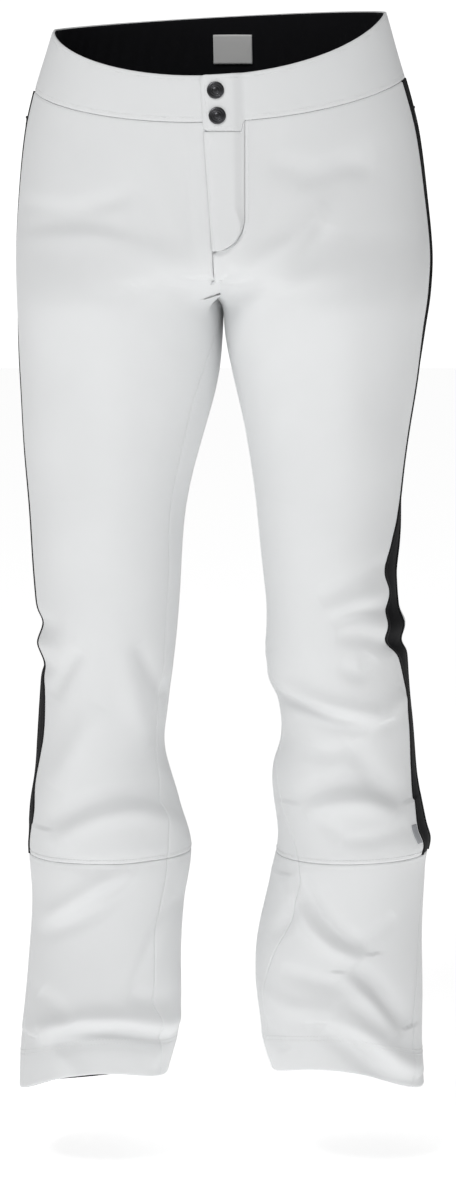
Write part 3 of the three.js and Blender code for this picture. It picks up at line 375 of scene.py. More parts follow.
def relief(side, angle, z):
    """How far the worn cloth stands off its smooth face: the folds before and behind, the outline's
    notches, and a slow wander of three sines. It dies away at the fly, beside the pocket zips and up to
    the waistband."""
    angle, z = np.broadcast_arrays(angle, z)
    s, c = np.sin(angle), np.cos(angle)
    x = face(side, angle, z)[..., 0]
    ahead = FOLD_STRENGTH * sum(fold_height(x, z, *fold) for fold in FOLDS[side])
    behind = sum(fold_height(x * SIGN[side], z, *fold) for fold in BEHIND)
    height = ahead * smoothstep(s, -0.2, 0.25) + behind * smoothstep(-s, 0.1, 0.5)
    for where, towards, middle, half, depth in OUTLINE:
        if where == side:
            notch = depth * np.exp(-(((z - middle) / half) ** 2))
            height = height + notch * smoothstep(towards * c, 0.45, 0.95)
    loose = smoothstep(-z, 230, 420)
    slow = np.sin(z / 31 + 2 * angle) + 0.7 * np.sin(z / 19 - 3 * angle + SIGN[side])
    slow = slow + 0.5 * np.sin(z / 53 + 5 * angle)
    height = height + (0.25 + 0.35 * loose) * slow
    beside_fly = np.maximum(smoothstep(np.abs(x + 1), 22, 30), smoothstep(-z, 223, 240))
    beside_zip = np.maximum(smoothstep(np.abs(s), 0.14, 0.32), smoothstep(-z, 212, 235))
    level = z + np.where(s > 0, FRONT_DIP * np.abs(s) ** 1.5, 0) * np.clip(1 - z / HIP_LEVEL, 0, 1)
    return height * beside_fly * beside_zip * smoothstep(-level, 66, 105)


def worn(side, angle, z, height=0.0):
    """Points over the worn face at a height, and the smooth face's normals there."""
    normal = outward(side, angle, z)
    return face(side, angle, z) + normal * (relief(side, angle, z) + height)[..., None], normal


# ---- Meshes ----


def mesh_object(name, points, faces, coordinates=None, smooth=True):
    """An object from its points in millimetres, its faces, and each face corner's place on the cloth in
    metres."""
    mesh = bpy.data.meshes.new(name)
    mesh.vertices.add(len(points))
    mesh.vertices.foreach_set("co", (points * MM).astype(np.float32).ravel())
    corners = faces.shape[1]
    mesh.loops.add(faces.size)
    mesh.loops.foreach_set("vertex_index", faces.astype(np.int32).ravel())
    mesh.polygons.add(len(faces))
    mesh.polygons.foreach_set("loop_start", np.arange(0, faces.size, corners, dtype=np.int32))
    mesh.polygons.foreach_set("use_smooth", np.full(len(faces), smooth))
    if coordinates is not None:
        layer = mesh.uv_layers.new(name="cloth")
        layer.data.foreach_set("uv", coordinates.astype(np.float32).ravel())
    mesh.update(calc_edges=True)
    piece = bpy.data.objects.new(name, mesh)
    bpy.context.scene.collection.objects.link(piece)
    return piece


def signed_volume(points, faces):
    """Six times the volume inside the faces, negative when they face inwards."""
    a, b, c, d = (points[faces[:, i]] for i in range(4))
    first = np.einsum("ij,ij->i", a, np.cross(b, c))
    return (first + np.einsum("ij,ij->i", a, np.cross(c, d))).sum()


def strip(a, b):
    """The quads between two lines of corners."""
    return np.stack([a[:-1], a[1:], b[1:], b[:-1]], -1)


def sheet_faces(corner, wraps):
    """The quads of two layers of corners (layer, row, column) and of the rim that joins them."""
    quads = []
    for layer in (0, 1):
        g = corner[layer]
        q = np.stack([g[:-1, :-1], g[:-1, 1:], g[1:, 1:], g[1:, :-1]], -1).reshape(-1, 4)
        quads.append(q if layer == 0 else q[:, ::-1])
    quads += [strip(corner[1, 0], corner[0, 0]), strip(corner[0, -1], corner[1, -1])]
    if not wraps:
        quads += [strip(corner[0, :, 0], corner[1, :, 0]), strip(corner[1, :, -1], corner[0, :, -1])]
    return np.vstack(quads)


def run_along(points, axis):
    """The distance run along an axis of a grid of points, starting at nought."""
    steps = np.linalg.norm(np.diff(points, axis=axis), axis=-1)
    first = np.zeros_like(np.take(steps, [0], axis=axis))
    return np.concatenate([first, np.cumsum(steps, axis=axis)], axis=axis)


def layered(name, outer, inner, look, wraps=False):
    """A closed sheet of cloth from the grids (row, column, 3) of its outer and inner face, which meet at
    a rim. Its cloth coordinates are the distances run across and up the outer face."""
    rows, columns = outer.shape[:2]
    closed = np.concatenate([outer, outer[:, :1]], axis=1) if wraps else outer
    cloth = np.stack([run_along(closed, 1), run_along(closed, 0)], -1) * MM
    points = np.concatenate([outer.reshape(-1, 3), inner.reshape(-1, 3)])
    corner = np.arange(2 * rows * columns).reshape(2, rows, columns)
    place = np.broadcast_to(np.arange(rows * closed.shape[1]).reshape(1, rows, -1),
                            (2, rows, closed.shape[1]))
    if wraps:
        corner = np.concatenate([corner, corner[:, :, :1]], axis=2)
    faces, places = sheet_faces(corner, wraps), sheet_faces(place, wraps)
    if signed_volume(points, faces) < 0:
        faces, places = faces[:, ::-1], places[:, ::-1]
    piece = mesh_object(name, points, faces, cloth.reshape(-1, 2)[places])
    piece.data.materials.append(look)
    return piece


def eased(grid, rounds=36):
    """The grid with its rows smoothed into each other at the crotch, each round averaging a row with its
    neighbours. It leaves the grid alone near its edges."""
    z = grid[..., 2]
    near = smoothstep(z, -312, -285) * (1 - smoothstep(z, -238, -205))
    u = run_along(grid, 1)
    near = near * smoothstep(np.minimum(u, u[:, -1:] - u), 1.5, 14)
    for _ in range(rounds):
        mean = (grid[:-2] + 2 * grid[1:-1] + grid[2:]) / 4
        grid = grid.copy()
        grid[1:-1] += (mean - grid[1:-1]) * near[1:-1, :, None]
    return grid


CLOSE_TO_EDGE = np.array([0, 0.35, 0.8, 1.4, 2.3])


def shares(length, step):
    """Shares from nought to one over a length, a step apart, and closer together where the edges roll
    in."""
    inside = np.linspace(3.6, length - 3.6, max(int(length / step), 2))
    return np.concatenate([CLOSE_TO_EDGE, inside, length - CLOSE_TO_EDGE[::-1]]) / length


def patch(low, high, start, end, across, up):
    """Angles and heights of a grid between two edges (functions of height) and two ends (functions of
    angle). Angle and height depend on each other, so they are worked out in turn until they settle."""
    u, v = np.meshgrid(across, up)
    angle, z = 0 * u, lerp(low(0 * u), high(0 * u), v)
    for _ in range(10):
        angle = lerp(start(z), end(z), u)
        z = lerp(low(angle), high(angle), v)
    return angle, z


def edge_profile(grid, rolled=(1, 1, 1, 1), stitched=(0, 0, 0, 0)):
    """Height over a sheet near its edges (start, end, low, high): it rolls in by 0.8 mm as a bell of the
    distance, is drawn down by 0.3 mm along a stitched line 4 mm in, and puckers a little beyond it."""
    u, v = run_along(grid, 1), run_along(grid, 0)
    away = (u, u[:, -1:] - u, v, v[-1:] - v)
    along = (v, v, u, u)
    height = np.zeros(grid.shape[:2])
    for d, run, rolls, stitches in zip(away, along, rolled, stitched):
        height -= rolls * 0.8 * np.exp(-((d / 0.9) ** 2))
        pucker = np.sin(run / 2.9) + np.sin(run / 4.7 + 1)
        drawn_down = 0.3 * np.exp(-(((d - 4) / 1.1) ** 2))
        height -= stitches * (drawn_down + 0.1 * pucker * np.exp(-(((d - 5) / 5) ** 2)))
    return height


def clothe(name, node, side, grid_of, look, thickness=CLOTH, height=0.0,
           rolled=(1, 1, 1, 1), stitched=(0, 0, 0, 0), wraps=False):
    """One worn sheet on the garment that stands for a node of the frame."""
    angle, z = grid_of
    smooth = face(side, angle, z)
    lift = edge_profile(smooth, rolled, stitched) + height
    outer, normal = worn(side, angle, z, lift)
    if node.startswith(("front_panel", "back_panel")):
        outer = eased(outer)
    piece = layered(name, outer, outer - normal * thickness, look, wraps)
    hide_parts(node)
    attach(piece, "garment")
    return piece


# ---- Materials ----


def material(name, colour, roughness, metallic=0.0, **sockets):
    """A surface with one colour, and values for the shader's own sockets by name."""
    look = bpy.data.materials.new(name)
    look.use_nodes = True
    shader = look.node_tree.nodes["Principled BSDF"]
    shader.inputs["Base Color"].default_value = (*colour, 1)
    shader.inputs["Roughness"].default_value = roughness
    shader.inputs["Metallic"].default_value = metallic
    for socket, value in sockets.items():
        shader.inputs[socket.replace("_", " ")].default_value = value
    return look


def node(look, kind, **values):
    """A new shader node with these properties set."""
    made = look.node_tree.nodes.new(kind)
    for key, value in values.items():
        setattr(made, key, value)
    return made


def bump(look, height, strength, distance):
    """Adds a bump to the look from a height socket, on top of any that it has."""
    links = look.node_tree.links
    shader = look.node_tree.nodes["Principled BSDF"]
    made = node(look, "ShaderNodeBump")
    made.inputs["Strength"].default_value = strength
    made.inputs["Distance"].default_value = distance
    links.new(height, made.inputs["Height"])
    if shader.inputs["Normal"].is_linked:
        links.new(shader.inputs["Normal"].links[0].from_socket, made.inputs["Normal"])
    links.new(made.outputs["Normal"], shader.inputs["Normal"])


def tone(look, colour, darker, scale, coordinates):
    """Varies the base colour slowly between the colour and a slightly darker one."""
    links = look.node_tree.links
    noise = node(look, "ShaderNodeTexNoise")
    noise.inputs["Scale"].default_value = scale
    noise.inputs["Detail"].default_value = 3
    ramp = node(look, "ShaderNodeValToRGB")
    ramp.color_ramp.elements[0].position, ramp.color_ramp.elements[1].position = 0.3, 0.7
    ramp.color_ramp.elements[0].color = (*(c * darker for c in colour), 1)
    ramp.color_ramp.elements[1].color = (*colour, 1)
    links.new(coordinates, noise.inputs["Vector"])
    links.new(noise.outputs["Fac"], ramp.inputs["Fac"])
    links.new(ramp.outputs["Color"], look.node_tree.nodes["Principled BSDF"].inputs["Base Color"])


def wave(look, direction, pitch, coordinates):
    """The height of a row of threads, one to each pitch in metres."""
    made = node(look, "ShaderNodeTexWave", bands_direction=direction)
    made.inputs["Scale"].default_value = np.pi / (10 * pitch)
    look.node_tree.links.new(coordinates, made.inputs["Vector"])
    return made.outputs["Fac"]


def fabric(name, colour, roughness, pitch, relief_height, darker=0.93, ribs=False, **sockets):
    """Woven cloth: threads crossing along the cloth's own coordinates, or ribs across it, under a slow
    tone."""
    look = material(name, colour, roughness, **sockets)
    links = look.node_tree.links
    own = node(look, "ShaderNodeUVMap", uv_map="cloth").outputs["UV"]
    warp = wave(look, "X", pitch, own)
    height = warp
    if not ribs:
        height = node(look, "ShaderNodeMath", operation="MULTIPLY")
        links.new(warp, height.inputs[0])
        links.new(wave(look, "Y", pitch, own), height.inputs[1])
        height = height.outputs[0]
    bump(look, height, 0.5, relief_height)
    nap = node(look, "ShaderNodeTexNoise")
    nap.inputs["Scale"].default_value = 420
    links.new(own, nap.inputs["Vector"])
    bump(look, nap.outputs["Fac"], 0.35, relief_height)
    tone(look, colour, darker, 14, own)
    return look


def hard(name, colour, roughness, metallic, grain=900.0, **sockets):
    """A moulded or plated part: fine scuffs roughen it and its tone wanders a little."""
    look = material(name, colour, roughness, metallic, **sockets)
    own = node(look, "ShaderNodeTexCoord").outputs["Object"]
    scuffs = node(look, "ShaderNodeTexNoise")
    scuffs.inputs["Scale"].default_value = grain
    look.node_tree.links.new(own, scuffs.inputs["Vector"])
    bump(look, scuffs.outputs["Fac"], 0.25, 0.00004)
    tone(look, colour, 0.82, 160, own)
    return look


WHITE = (0.80, 0.81, 0.815)
white_cloth = fabric("white_softshell", WHITE, 0.78, 0.0009, 0.00005, 0.975, Sheen_Weight=0.15)
black_cloth = fabric("black_softshell", (0.005, 0.005, 0.006), 0.85, 0.0009, 0.00005, 0.8,
                     Specular_IOR_Level=0.2)
black_piping = fabric("black_piping", (0.005, 0.005, 0.006), 0.6, 0.0006, 0.00003, 0.85,
                      Specular_IOR_Level=0.25)
lining = fabric("black_lining", (0.008, 0.008, 0.010), 0.9, 0.0011, 0.00008, 0.8, Specular_IOR_Level=0.2)
elastic = fabric("elastic", (0.016, 0.016, 0.019), 0.8, 0.0022, 0.0003, 0.8, ribs=True)
tape_cloth = fabric("zip_tape", (0.72, 0.73, 0.73), 0.8, 0.0008, 0.00008, 0.95)
thread = fabric("white_thread", (0.84, 0.845, 0.85), 0.6, 0.0004, 0.00005, 0.97)
badge_cloth = fabric("badge", (0.34, 0.35, 0.37), 0.5, 0.0007, 0.00006, 0.9)
label_cloth = fabric("label", (0.86, 0.86, 0.85), 0.55, 0.0005, 0.00004, 0.97)
gunmetal = hard("gunmetal", (0.075, 0.075, 0.08), 0.34, 1.0)
nickel = hard("nickel", (0.62, 0.62, 0.60), 0.28, 1.0)
black_plastic = hard("black_zip", (0.011, 0.011, 0.012), 0.42, 0.0)
white_plastic = hard("zip_plastic", (0.70, 0.71, 0.71), 0.4, 0.0)

# ---- Seams and edges ----


def stripe_edge(side, behind):
    """The middle of the piping at the front or the back edge of the stripe. It stays put beside the
    pocket zip."""

    def edge(z):
        free = smoothstep(-z, 214, 260)
        return angle_ahead(STRIPE_AHEAD[side] - behind * STRIPE_WIDTH + STRIPE_DRAWN[side](z) * free, z)

    return edge


def past_piping(edge, towards):
    """The edge of the panel on one side of a piping."""
    return lambda z: edge(z) + towards * angle_ahead(PIPING_WIDTH / 2 + SEAM_GAP / 2, z)


def side_seam(z):
    """The lower leg's side seam, which wanders to the front."""
    return angle_ahead(lerp(10, 40, smoothstep(-z, -CALF_SEAM_LEVEL, -HEM_LEVEL)), z)


def inseam(side, z):
    """The seam on the inside of the leg."""
    return np.pi - np.radians(INSEAM_AHEAD[side](z))


def j_line(z):
    """The fly's stitching: straight down the fold, then a quarter of an ellipse to the centre seam."""
    drop = np.clip((CURVE_TOP_Z - z) / CURVE_DEPTH, 0, 1)
    return CURVE_FOOT_X + (FOLD_X - CURVE_FOOT_X) * np.sqrt(1 - drop**2)


def front_inner(side):
    """The front panel's inner edge: the inseam, then the centre, and on the left the fly's stitching."""

    def edge(z):
        middle = np.minimum(centre_angle(side, 1, z), np.pi - EDGE)
        if side == "left":
            beside_fly = np.minimum(middle, angle_at_x("left", j_line(z) + 0.2, z))
            middle = np.where(z > FLAP_BOTTOM_Z, beside_fly, middle)
        return np.where(z < CROTCH_LEVEL, inseam(side, z) - EDGE, middle)

    return edge


def back_inner(side):
    """The back panel's inner edge: the inseam, then the centre back."""
    return lambda z: np.where(z < CROTCH_LEVEL, inseam(side, z) - 2 * np.pi + EDGE,
                              np.maximum(centre_angle(side, -1, z), EDGE - np.pi))


def waist_seam(side, shift=-SEAM_GAP / 2):
    """The height of the seam under the waistband by angle: the seam's level, and a shift."""
    return lambda angle: level_height(side, angle, SEAM_LEVEL) + shift


def waist_edge(side):
    """The height of the waistband's upper edge by angle."""
    return lambda angle: level_height(side, angle, WAIST_LEVEL)


def yoke_seam(side, shift):
    """The seam between yoke and seat, which drops towards the centre back."""

    def edge(angle):
        drop = YOKE_DROP * np.abs(np.sin(angle)) ** 1.5
        return level_height(side, angle, SEAM_LEVEL - YOKE_DEPTH) - drop + shift

    return edge


def calf_seam(angle):
    """The lower end of the upper leg: half a seam gap above the calf seam's level."""
    return CALF_SEAM_LEVEL + SEAM_GAP / 2 + 0 * angle


def pocket_ends(side):
    """Heights of the lower and the upper end of the slot that the pocket zip lies in."""
    tilt = SIGN[side] * HIP_TILT
    top, low = POCKET_TOP_LEVEL + 4, POCKET_TOP_LEVEL - POCKET_ZIP_LENGTH - 4
    return low, top + (1 - top / HIP_LEVEL) * tilt


def stripe_lead(side):
    """The stripe's front edge, which stands back beside the pocket zip."""
    low, top = pocket_ends(side)

    def edge(z):
        beside = smoothstep(z, low, low + 1.5) * (1 - smoothstep(z, top - 1.5, top))
        full = past_piping(stripe_edge(side, 0), -1)(z)
        return lerp(full, angle_ahead(STRIPE_AHEAD[side] - POCKET_SLOT, z), beside)

    return edge


# ---- Upper legs ----

LEG_UP, BAND_UP = shares(740, 2.1), shares(58, 2.2)
for side in SIDES:
    clothe(f"front_{side}", f"front_panel_{side}", side,
           patch(calf_seam, waist_seam(side), past_piping(stripe_edge(side, 0), 1), front_inner(side),
                 shares(200, 2.3), LEG_UP),
           white_cloth, stitched=(0, 0, 1, 0))
    clothe(f"seat_and_back_{side}", f"back_panel_{side}", side,
           patch(calf_seam, yoke_seam(side, -SEAM_GAP / 2), past_piping(stripe_edge(side, 1), -1),
                 back_inner(side),
                 shares(220, 2.5), shares(700, 2.3)),
           white_cloth, stitched=(0, 0, 1, 0))
    clothe(f"yoke_{side}", f"back_yoke_{side}", side,
           patch(yoke_seam(side, SEAM_GAP / 2), waist_seam(side), past_piping(stripe_edge(side, 1), -1),
                 back_inner(side), shares(200, 2.5), shares(50, 2.2)),
           white_cloth, stitched=(0, 0, 1, 0))
    clothe(f"stripe_{side}", f"side_stripe_{side}", side,
           patch(calf_seam, waist_seam(side), past_piping(stripe_edge(side, 1), 1), stripe_lead(side),
                 shares(29, 1.5), shares(740, 1.6)),
           black_cloth)
    for behind, where in enumerate(("front", "back")):
        middle = stripe_edge(side, behind)
        half = PIPING_WIDTH / 2
        angle, z = patch(calf_seam, waist_seam(side), lambda z: middle(z) - angle_ahead(half, z),
                         lambda z: middle(z) + angle_ahead(half, z), np.linspace(0, 1, 13), LEG_UP)
        bead = PIPING_HEIGHT * np.sqrt(1 - np.linspace(-1, 1, 13) ** 2)
        outer, normal = worn(side, angle, z, np.broadcast_to(bead, z.shape))
        inner, _ = worn(side, angle, z, np.full(z.shape, -CLOTH))
        piping = layered(f"piping_{where}_{side}", outer, inner, black_piping)
        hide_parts(f"stripe_piping_{where}_{side}")
        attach(piping, "garment")

# ---- Lower legs, hem facings and gaiters ----


def ring(side, columns):
    """Angles once round the lower leg from its side seam, as a function of height."""
    turn = np.linspace(0, 2 * np.pi, columns, endpoint=False)
    return lambda z: side_seam(z) + turn[None, :]


def band(side, low, high, up, columns):
    """Angles and heights of a closed band round the lower leg."""
    z = lerp(HEM_LEVEL, CALF_SEAM_LEVEL, np.repeat(up[:, None], columns, 1))
    for _ in range(10):
        angle = ring(side, columns)(z)
        z = lerp(low(angle), high(angle), up[:, None])
    return angle, z


def hem(side):
    """The height of the hem by angle."""
    return lambda angle: hem_height(side, angle)


def leg_row(side, share):
    """The height of a share of the way up the lower leg."""
    return lambda angle: lerp(hem_height(side, angle), CALF_SEAM_LEVEL, share)


def below_calf_seam(angle):
    """The upper end of the lower leg: half a seam gap below the calf seam's level."""
    return CALF_SEAM_LEVEL - SEAM_GAP / 2 + 0 * angle


LOWER_UP = shares(230, 2.0)
for side in SIDES:
    clothe(f"lower_front_{side}", f"lower_leg_front_{side}", side,
           patch(hem(side), below_calf_seam, lambda z: side_seam(z) + EDGE, lambda z: inseam(side, z) - EDGE,
                 shares(190, 2.2), LOWER_UP),
           white_cloth, stitched=(0, 0, 0, 1))
    clothe(f"lower_back_{side}", f"lower_leg_back_{side}", side,
           patch(hem(side), below_calf_seam, lambda z: inseam(side, z) - 2 * np.pi + EDGE,
                 lambda z: side_seam(z) - EDGE, shares(240, 2.4), LOWER_UP),
           white_cloth, stitched=(0, 0, 0, 1))
    grid = band(side, hem(side), leg_row(side, HEM_ROW), np.linspace(0, 1, 16), 200)
    clothe(f"hem_lining_{side}", f"hem_facing_{side}", side, grid, lining,
           LINING, -CLOTH - LAYER_GAP, (0, 0, 0, 0), wraps=True)

    elastic_top = GAITER_HEM_LEVEL + GAITER_ELASTIC
    top = leg_row(side, GAITER_ROW)
    middle_x = CENTRE_X + SIGN[side] * float(halves(side, 0.0, np.array(float(elastic_top)))[1])

    def gaiter(up, rise, outset, gathers):
        """A tube from the boot's girth to the leg's wall. It opens smoothly with the share of the height,
        and its small pleats fade out upwards."""
        angle, z = band(side, lambda a: GAITER_HEM_LEVEL + 0 * a, rise, up, 260)
        open_share = smoothstep((z - elastic_top) / (top(angle) - elastic_top), 0.15, 1.0)
        pleats = gathers * np.sin(angle * 42) * (1 - open_share)
        wall = worn(side, angle, z, np.full(z.shape, outset - CLOTH - LAYER_GAP - 0.3))[0]
        wide = GAITER_HALF[0] + outset + pleats
        deep = GAITER_HALF[1] + outset + pleats
        tube = np.stack([middle_x + SIGN[side] * wide * np.cos(angle), -deep * np.sin(angle), z], -1)
        return lerp(tube, wall, open_share[..., None])

    for name, slot, look, up, rise, outset, gathers in (
        ("gaiter", "black_lining", lining, np.linspace(0, 1, 70), top, 0.0, 0.5),
        ("gaiter_elastic", "elastic", elastic, np.linspace(0, 1, 14), lambda a: elastic_top + 0 * a,
         LAYER_GAP + LINING + 0.6, 0.35),
    ):
        grid = gaiter(up, rise, outset, gathers)
        tube = layered(f"{name}_cloth_{side}", grid, gaiter(up, rise, outset - LINING, gathers), look,
                       True)
        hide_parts(f"{name}_{side}")
        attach(tube, "garment")

# ---- Waistband, tab and fly flap ----


def free_edge(z):
    """The flap's and the tab's free edge, which nears the fold downwards."""
    return FLAP_EDGE_TOP_X + FLAP_EDGE_DRIFT * (LEAN_START_Z - z)


def centre_x(z):
    """Where the centre seam lies on the front: the middle, turned by TURN for each millimetre of
    depth."""
    return CENTRE_X + TURN * front_y(z)


def on_front(x, z, height):
    """Points over the front by x and height, whichever half they lie on, and their normals."""
    points, normals = [], []
    for side in SIDES:
        angle = angle_at_x(side, x, z)
        normal = outward(side, angle, z)
        points.append(face(side, angle, z) + normal * height[..., None])
        normals.append(normal)
    left = (x > centre_x(z))[..., None]
    return np.where(left, points[0], points[1]), np.where(left, normals[0], normals[1])


def rise(share, falls_from=0.68):
    """How far the inside of the flap stands off what it covers, by the share of the way from free edge to
    fold: up smoothly at the free edge, and from falls_from down to the level of the cloth beside it at
    the fold."""
    drop = FLAP_BULGE + LAYER_GAP + CLOTH
    return LAYER_GAP + FLAP_BULGE * smoothstep(share, 0, 0.13) - drop * smoothstep(share, falls_from, 1)


def front_level(x, level):
    """The height of a level by x, over the front."""
    z = np.full(np.shape(x), float(LEAN_START_Z))
    for _ in range(6):
        left = level_height("left", angle_at_x("left", x, z), level)
        right = level_height("right", angle_at_x("right", x, z), level)
        z = np.where(x > centre_x(z), left, right)
    return z


def tab_low(x):
    """The tab's lower edge, which steps up to the waist seam beside the fold."""
    seam = front_level(x, SEAM_LEVEL) + SEAM_GAP / 2
    return lerp(TAB_BOTTOM_Z, seam, smoothstep(x, 16.5, 20.5))


def band_to(side, end_x, across):
    """Angles and heights of one side of the waistband, from the side line to a place beside the fly."""
    return patch(waist_seam(side, SEAM_GAP / 2), waist_edge(side), lambda z: EDGE + 0 * z,
                 lambda z: angle_at_x(side, end_x, z), across, BAND_UP)


UNDER_CLOTH = -CLOTH - LAYER_GAP
right_band = band_to("right", UNDERLAP_END_X, shares(200, 2.0))
clothe("waistband_cloth_right", "waistband_right", "right", right_band, white_cloth,
       stitched=(0, 0, 1, 1))
clothe("waistband_facing_cloth_right", "waistband_facing_right", "right", right_band, lining,
       LINING, UNDER_CLOTH)
left_band = band_to("left", FOLD_X + 0.4, shares(180, 2.2))
clothe("waistband_lining_left", "waistband_facing_left", "left", left_band, lining,
       LINING, UNDER_CLOTH)


def waistband_left():
    """The left half of the waistband runs on as the tab, which opens about the fold. Its columns go
    evenly along the cloth by angle to the fold, and by x from there to the free edge."""
    band_u, tab_u = shares(165, 2.2), np.linspace(0, 1, 26)
    v = BAND_UP[:, None]
    z = lerp(-60.0, 0.0, v + 0 * band_u[None, :])
    for _ in range(10):
        angle = lerp(EDGE, angle_at_x("left", FOLD_X, z), band_u[None, :])
        z = lerp(level_height("left", angle, SEAM_LEVEL) + SEAM_GAP / 2,
                 level_height("left", angle, WAIST_LEVEL), v)
    band_points, band_normals = face("left", angle, z), outward("left", angle, z)
    tab_z = lerp(TAB_BOTTOM_Z, -60.0, v + 0 * tab_u[None, :])
    for _ in range(10):
        depth = np.minimum(tab_z - TAB_BOTTOM_Z, front_level(free_edge(tab_z), WAIST_LEVEL) - tab_z)
        corner = 5 - np.clip(depth, 0, 5)
        end_x = free_edge(tab_z) + 5 - np.sqrt(25 - corner**2)
        x = lerp(FOLD_X, end_x, tab_u[None, :])
        tab_z = lerp(tab_low(x), front_level(x, WAIST_LEVEL), v)
    lift = rise((x - free_edge(tab_z)) / (FOLD_X - free_edge(tab_z))) + CLOTH
    tab_points, tab_normals = on_front(x, tab_z, 0 * x)
    smooth = np.concatenate([band_points, tab_points[:, 1:]], axis=1)
    normals = unit(np.concatenate([band_normals, tab_normals[:, 1:]], axis=1))
    height = np.concatenate([np.zeros(z.shape), lift[:, 1:]], axis=1)
    height = height + edge_profile(smooth, stitched=(0, 1, 1, 1))
    outer = smooth + normals * height[..., None]
    piece = layered("waistband_and_tab", outer, outer - normals * CLOTH, white_cloth)
    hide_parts("waistband_left", "waist_tab")
    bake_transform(piece)


waistband_left()


# The flap's one thin layer, and how much higher it sits to clear the zip's pull.
FLAP_CLOTH, FLAP_LIFT = 1.0, 0.5


def fly_flap():
    """The flap over the zip, from its free edge to the fly's stitching, up to the tab's lower edge."""
    u, v = np.meshgrid(shares(40, 1.4), shares(108, 1.8))
    z = lerp(FLAP_BOTTOM_Z + 0.3, TAB_BOTTOM_Z - SEAM_GAP, v)
    for _ in range(6):
        x = lerp(free_edge(z), j_line(z) - 0.2, u)
        z = lerp(FLAP_BOTTOM_Z + 0.3, tab_low(x) - SEAM_GAP, v)
    smooth, normal = on_front(x, z, 0 * x)
    falls_from = lerp(0.93, 0.68, smoothstep(z, -205, -180))
    height = rise(u, falls_from) + CLOTH + FLAP_LIFT + edge_profile(smooth, stitched=(1, 0, 0, 0))
    outer = smooth + normal * height[..., None]
    piece = layered("fly_flap_cloth", outer, outer - normal * FLAP_CLOTH, white_cloth)
    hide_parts("fly_flap")
    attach(piece, "flap")


fly_flap()


def back_band(name, replaced, low, high, height, thickness, look, gathers):
    """A band round the back of the waistband between two shares of its depth, with small upright
    gathers."""
    turn = np.linspace(EDGE, QUARTER, 90)
    v = np.linspace(0, 1, 30)[:, None]
    both = []
    for side in ("right", "left"):
        angle = np.broadcast_to(-turn[None, :], (30, 90))
        share = lerp(low, high, v)
        z = lerp(level_height(side, angle, SEAM_LEVEL) + SEAM_GAP / 2,
                 level_height(side, angle, WAIST_LEVEL), share)
        ripple = gathers * np.sin(angle * 62) * np.sin(np.pi * share) * smoothstep(np.abs(angle), 0.15, 0.5)
        smooth, normal = face(side, angle, z), outward(side, angle, z)
        both.append((smooth, normal, ripple))
    smooth, normal, ripple = (np.concatenate([right, left[:, -2::-1]], axis=1) for right, left in zip(*both))
    outer = smooth + normal * (height + ripple)[..., None]
    piece = layered(name, outer, outer - normal * thickness, look)
    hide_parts(replaced)
    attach(piece, "garment")


ELASTIC_FACE = -CLOTH - LAYER_GAP
BACK_FACING = ELASTIC_FACE - LINING - LAYER_GAP
back_band("waistband_cloth_back", "waistband_back", 0, 1, 0, CLOTH, white_cloth, 0.45)
back_band("waist_elastic_band", "waist_elastic", 0.15, 0.85, ELASTIC_FACE, LINING, elastic, 0.35)
back_band("waistband_lining_back", "waistband_facing_back", 0, 1, BACK_FACING, LINING, lining,
          0.3)

# ---- Snaps ----


def lathe(name, profile, centre, axis, look, body, replaced, segments=64):
    """A turned piece: each (radius, height) of the profile swept round the axis. Ends at radius nought
    are closed by it, and a profile that returns to its start closes on itself."""
    axis = unit(np.array(axis))
    side = unit(np.cross(axis, (0, 0, 1)))
    other = np.cross(axis, side)
    r, h = np.array(profile, float).T
    turn = np.linspace(0, 2 * np.pi, segments, endpoint=False)
    round_ = np.cos(turn)[:, None] * side + np.sin(turn)[:, None] * other
    points = centre + h[:, None, None] * axis + r[:, None, None] * round_
    corner = np.arange(len(r) * segments).reshape(len(r), segments)
    corner = np.concatenate([corner, corner[:, :1]], axis=1)
    faces = np.stack([corner[:-1, :-1], corner[:-1, 1:], corner[1:, 1:], corner[1:, :-1]], -1).reshape(-1, 4)
    points = points.reshape(-1, 3)
    if signed_volume(points, faces) < 0:
        faces = faces[:, ::-1]
    piece = mesh_object(name, points, faces)
    piece.data.materials.append(look)
    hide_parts(replaced)
    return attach(piece, body)


def rounded(points, radius=0.25, steps=4):
    """A profile with each corner but the ends turned into a small parabola."""
    p = np.array(points, float)
    before, after = unit(p[:-2] - p[1:-1]), unit(p[2:] - p[1:-1])
    to_before, to_after = (np.linalg.norm(q - p[1:-1], axis=1) for q in (p[:-2], p[2:]))
    reach = np.minimum(np.minimum(to_before, to_after) * 0.45, radius)[:, None]
    t = np.linspace(0, 1, steps)[None, :, None]
    a, m, b = (q[:, None] for q in (p[1:-1] + before * reach, p[1:-1], p[1:-1] + after * reach))
    bends = (1 - t) ** 2 * a + 2 * t * (1 - t) * m + t * t * b
    return np.vstack([p[:1], bends.reshape(-1, 2), p[-1:]])


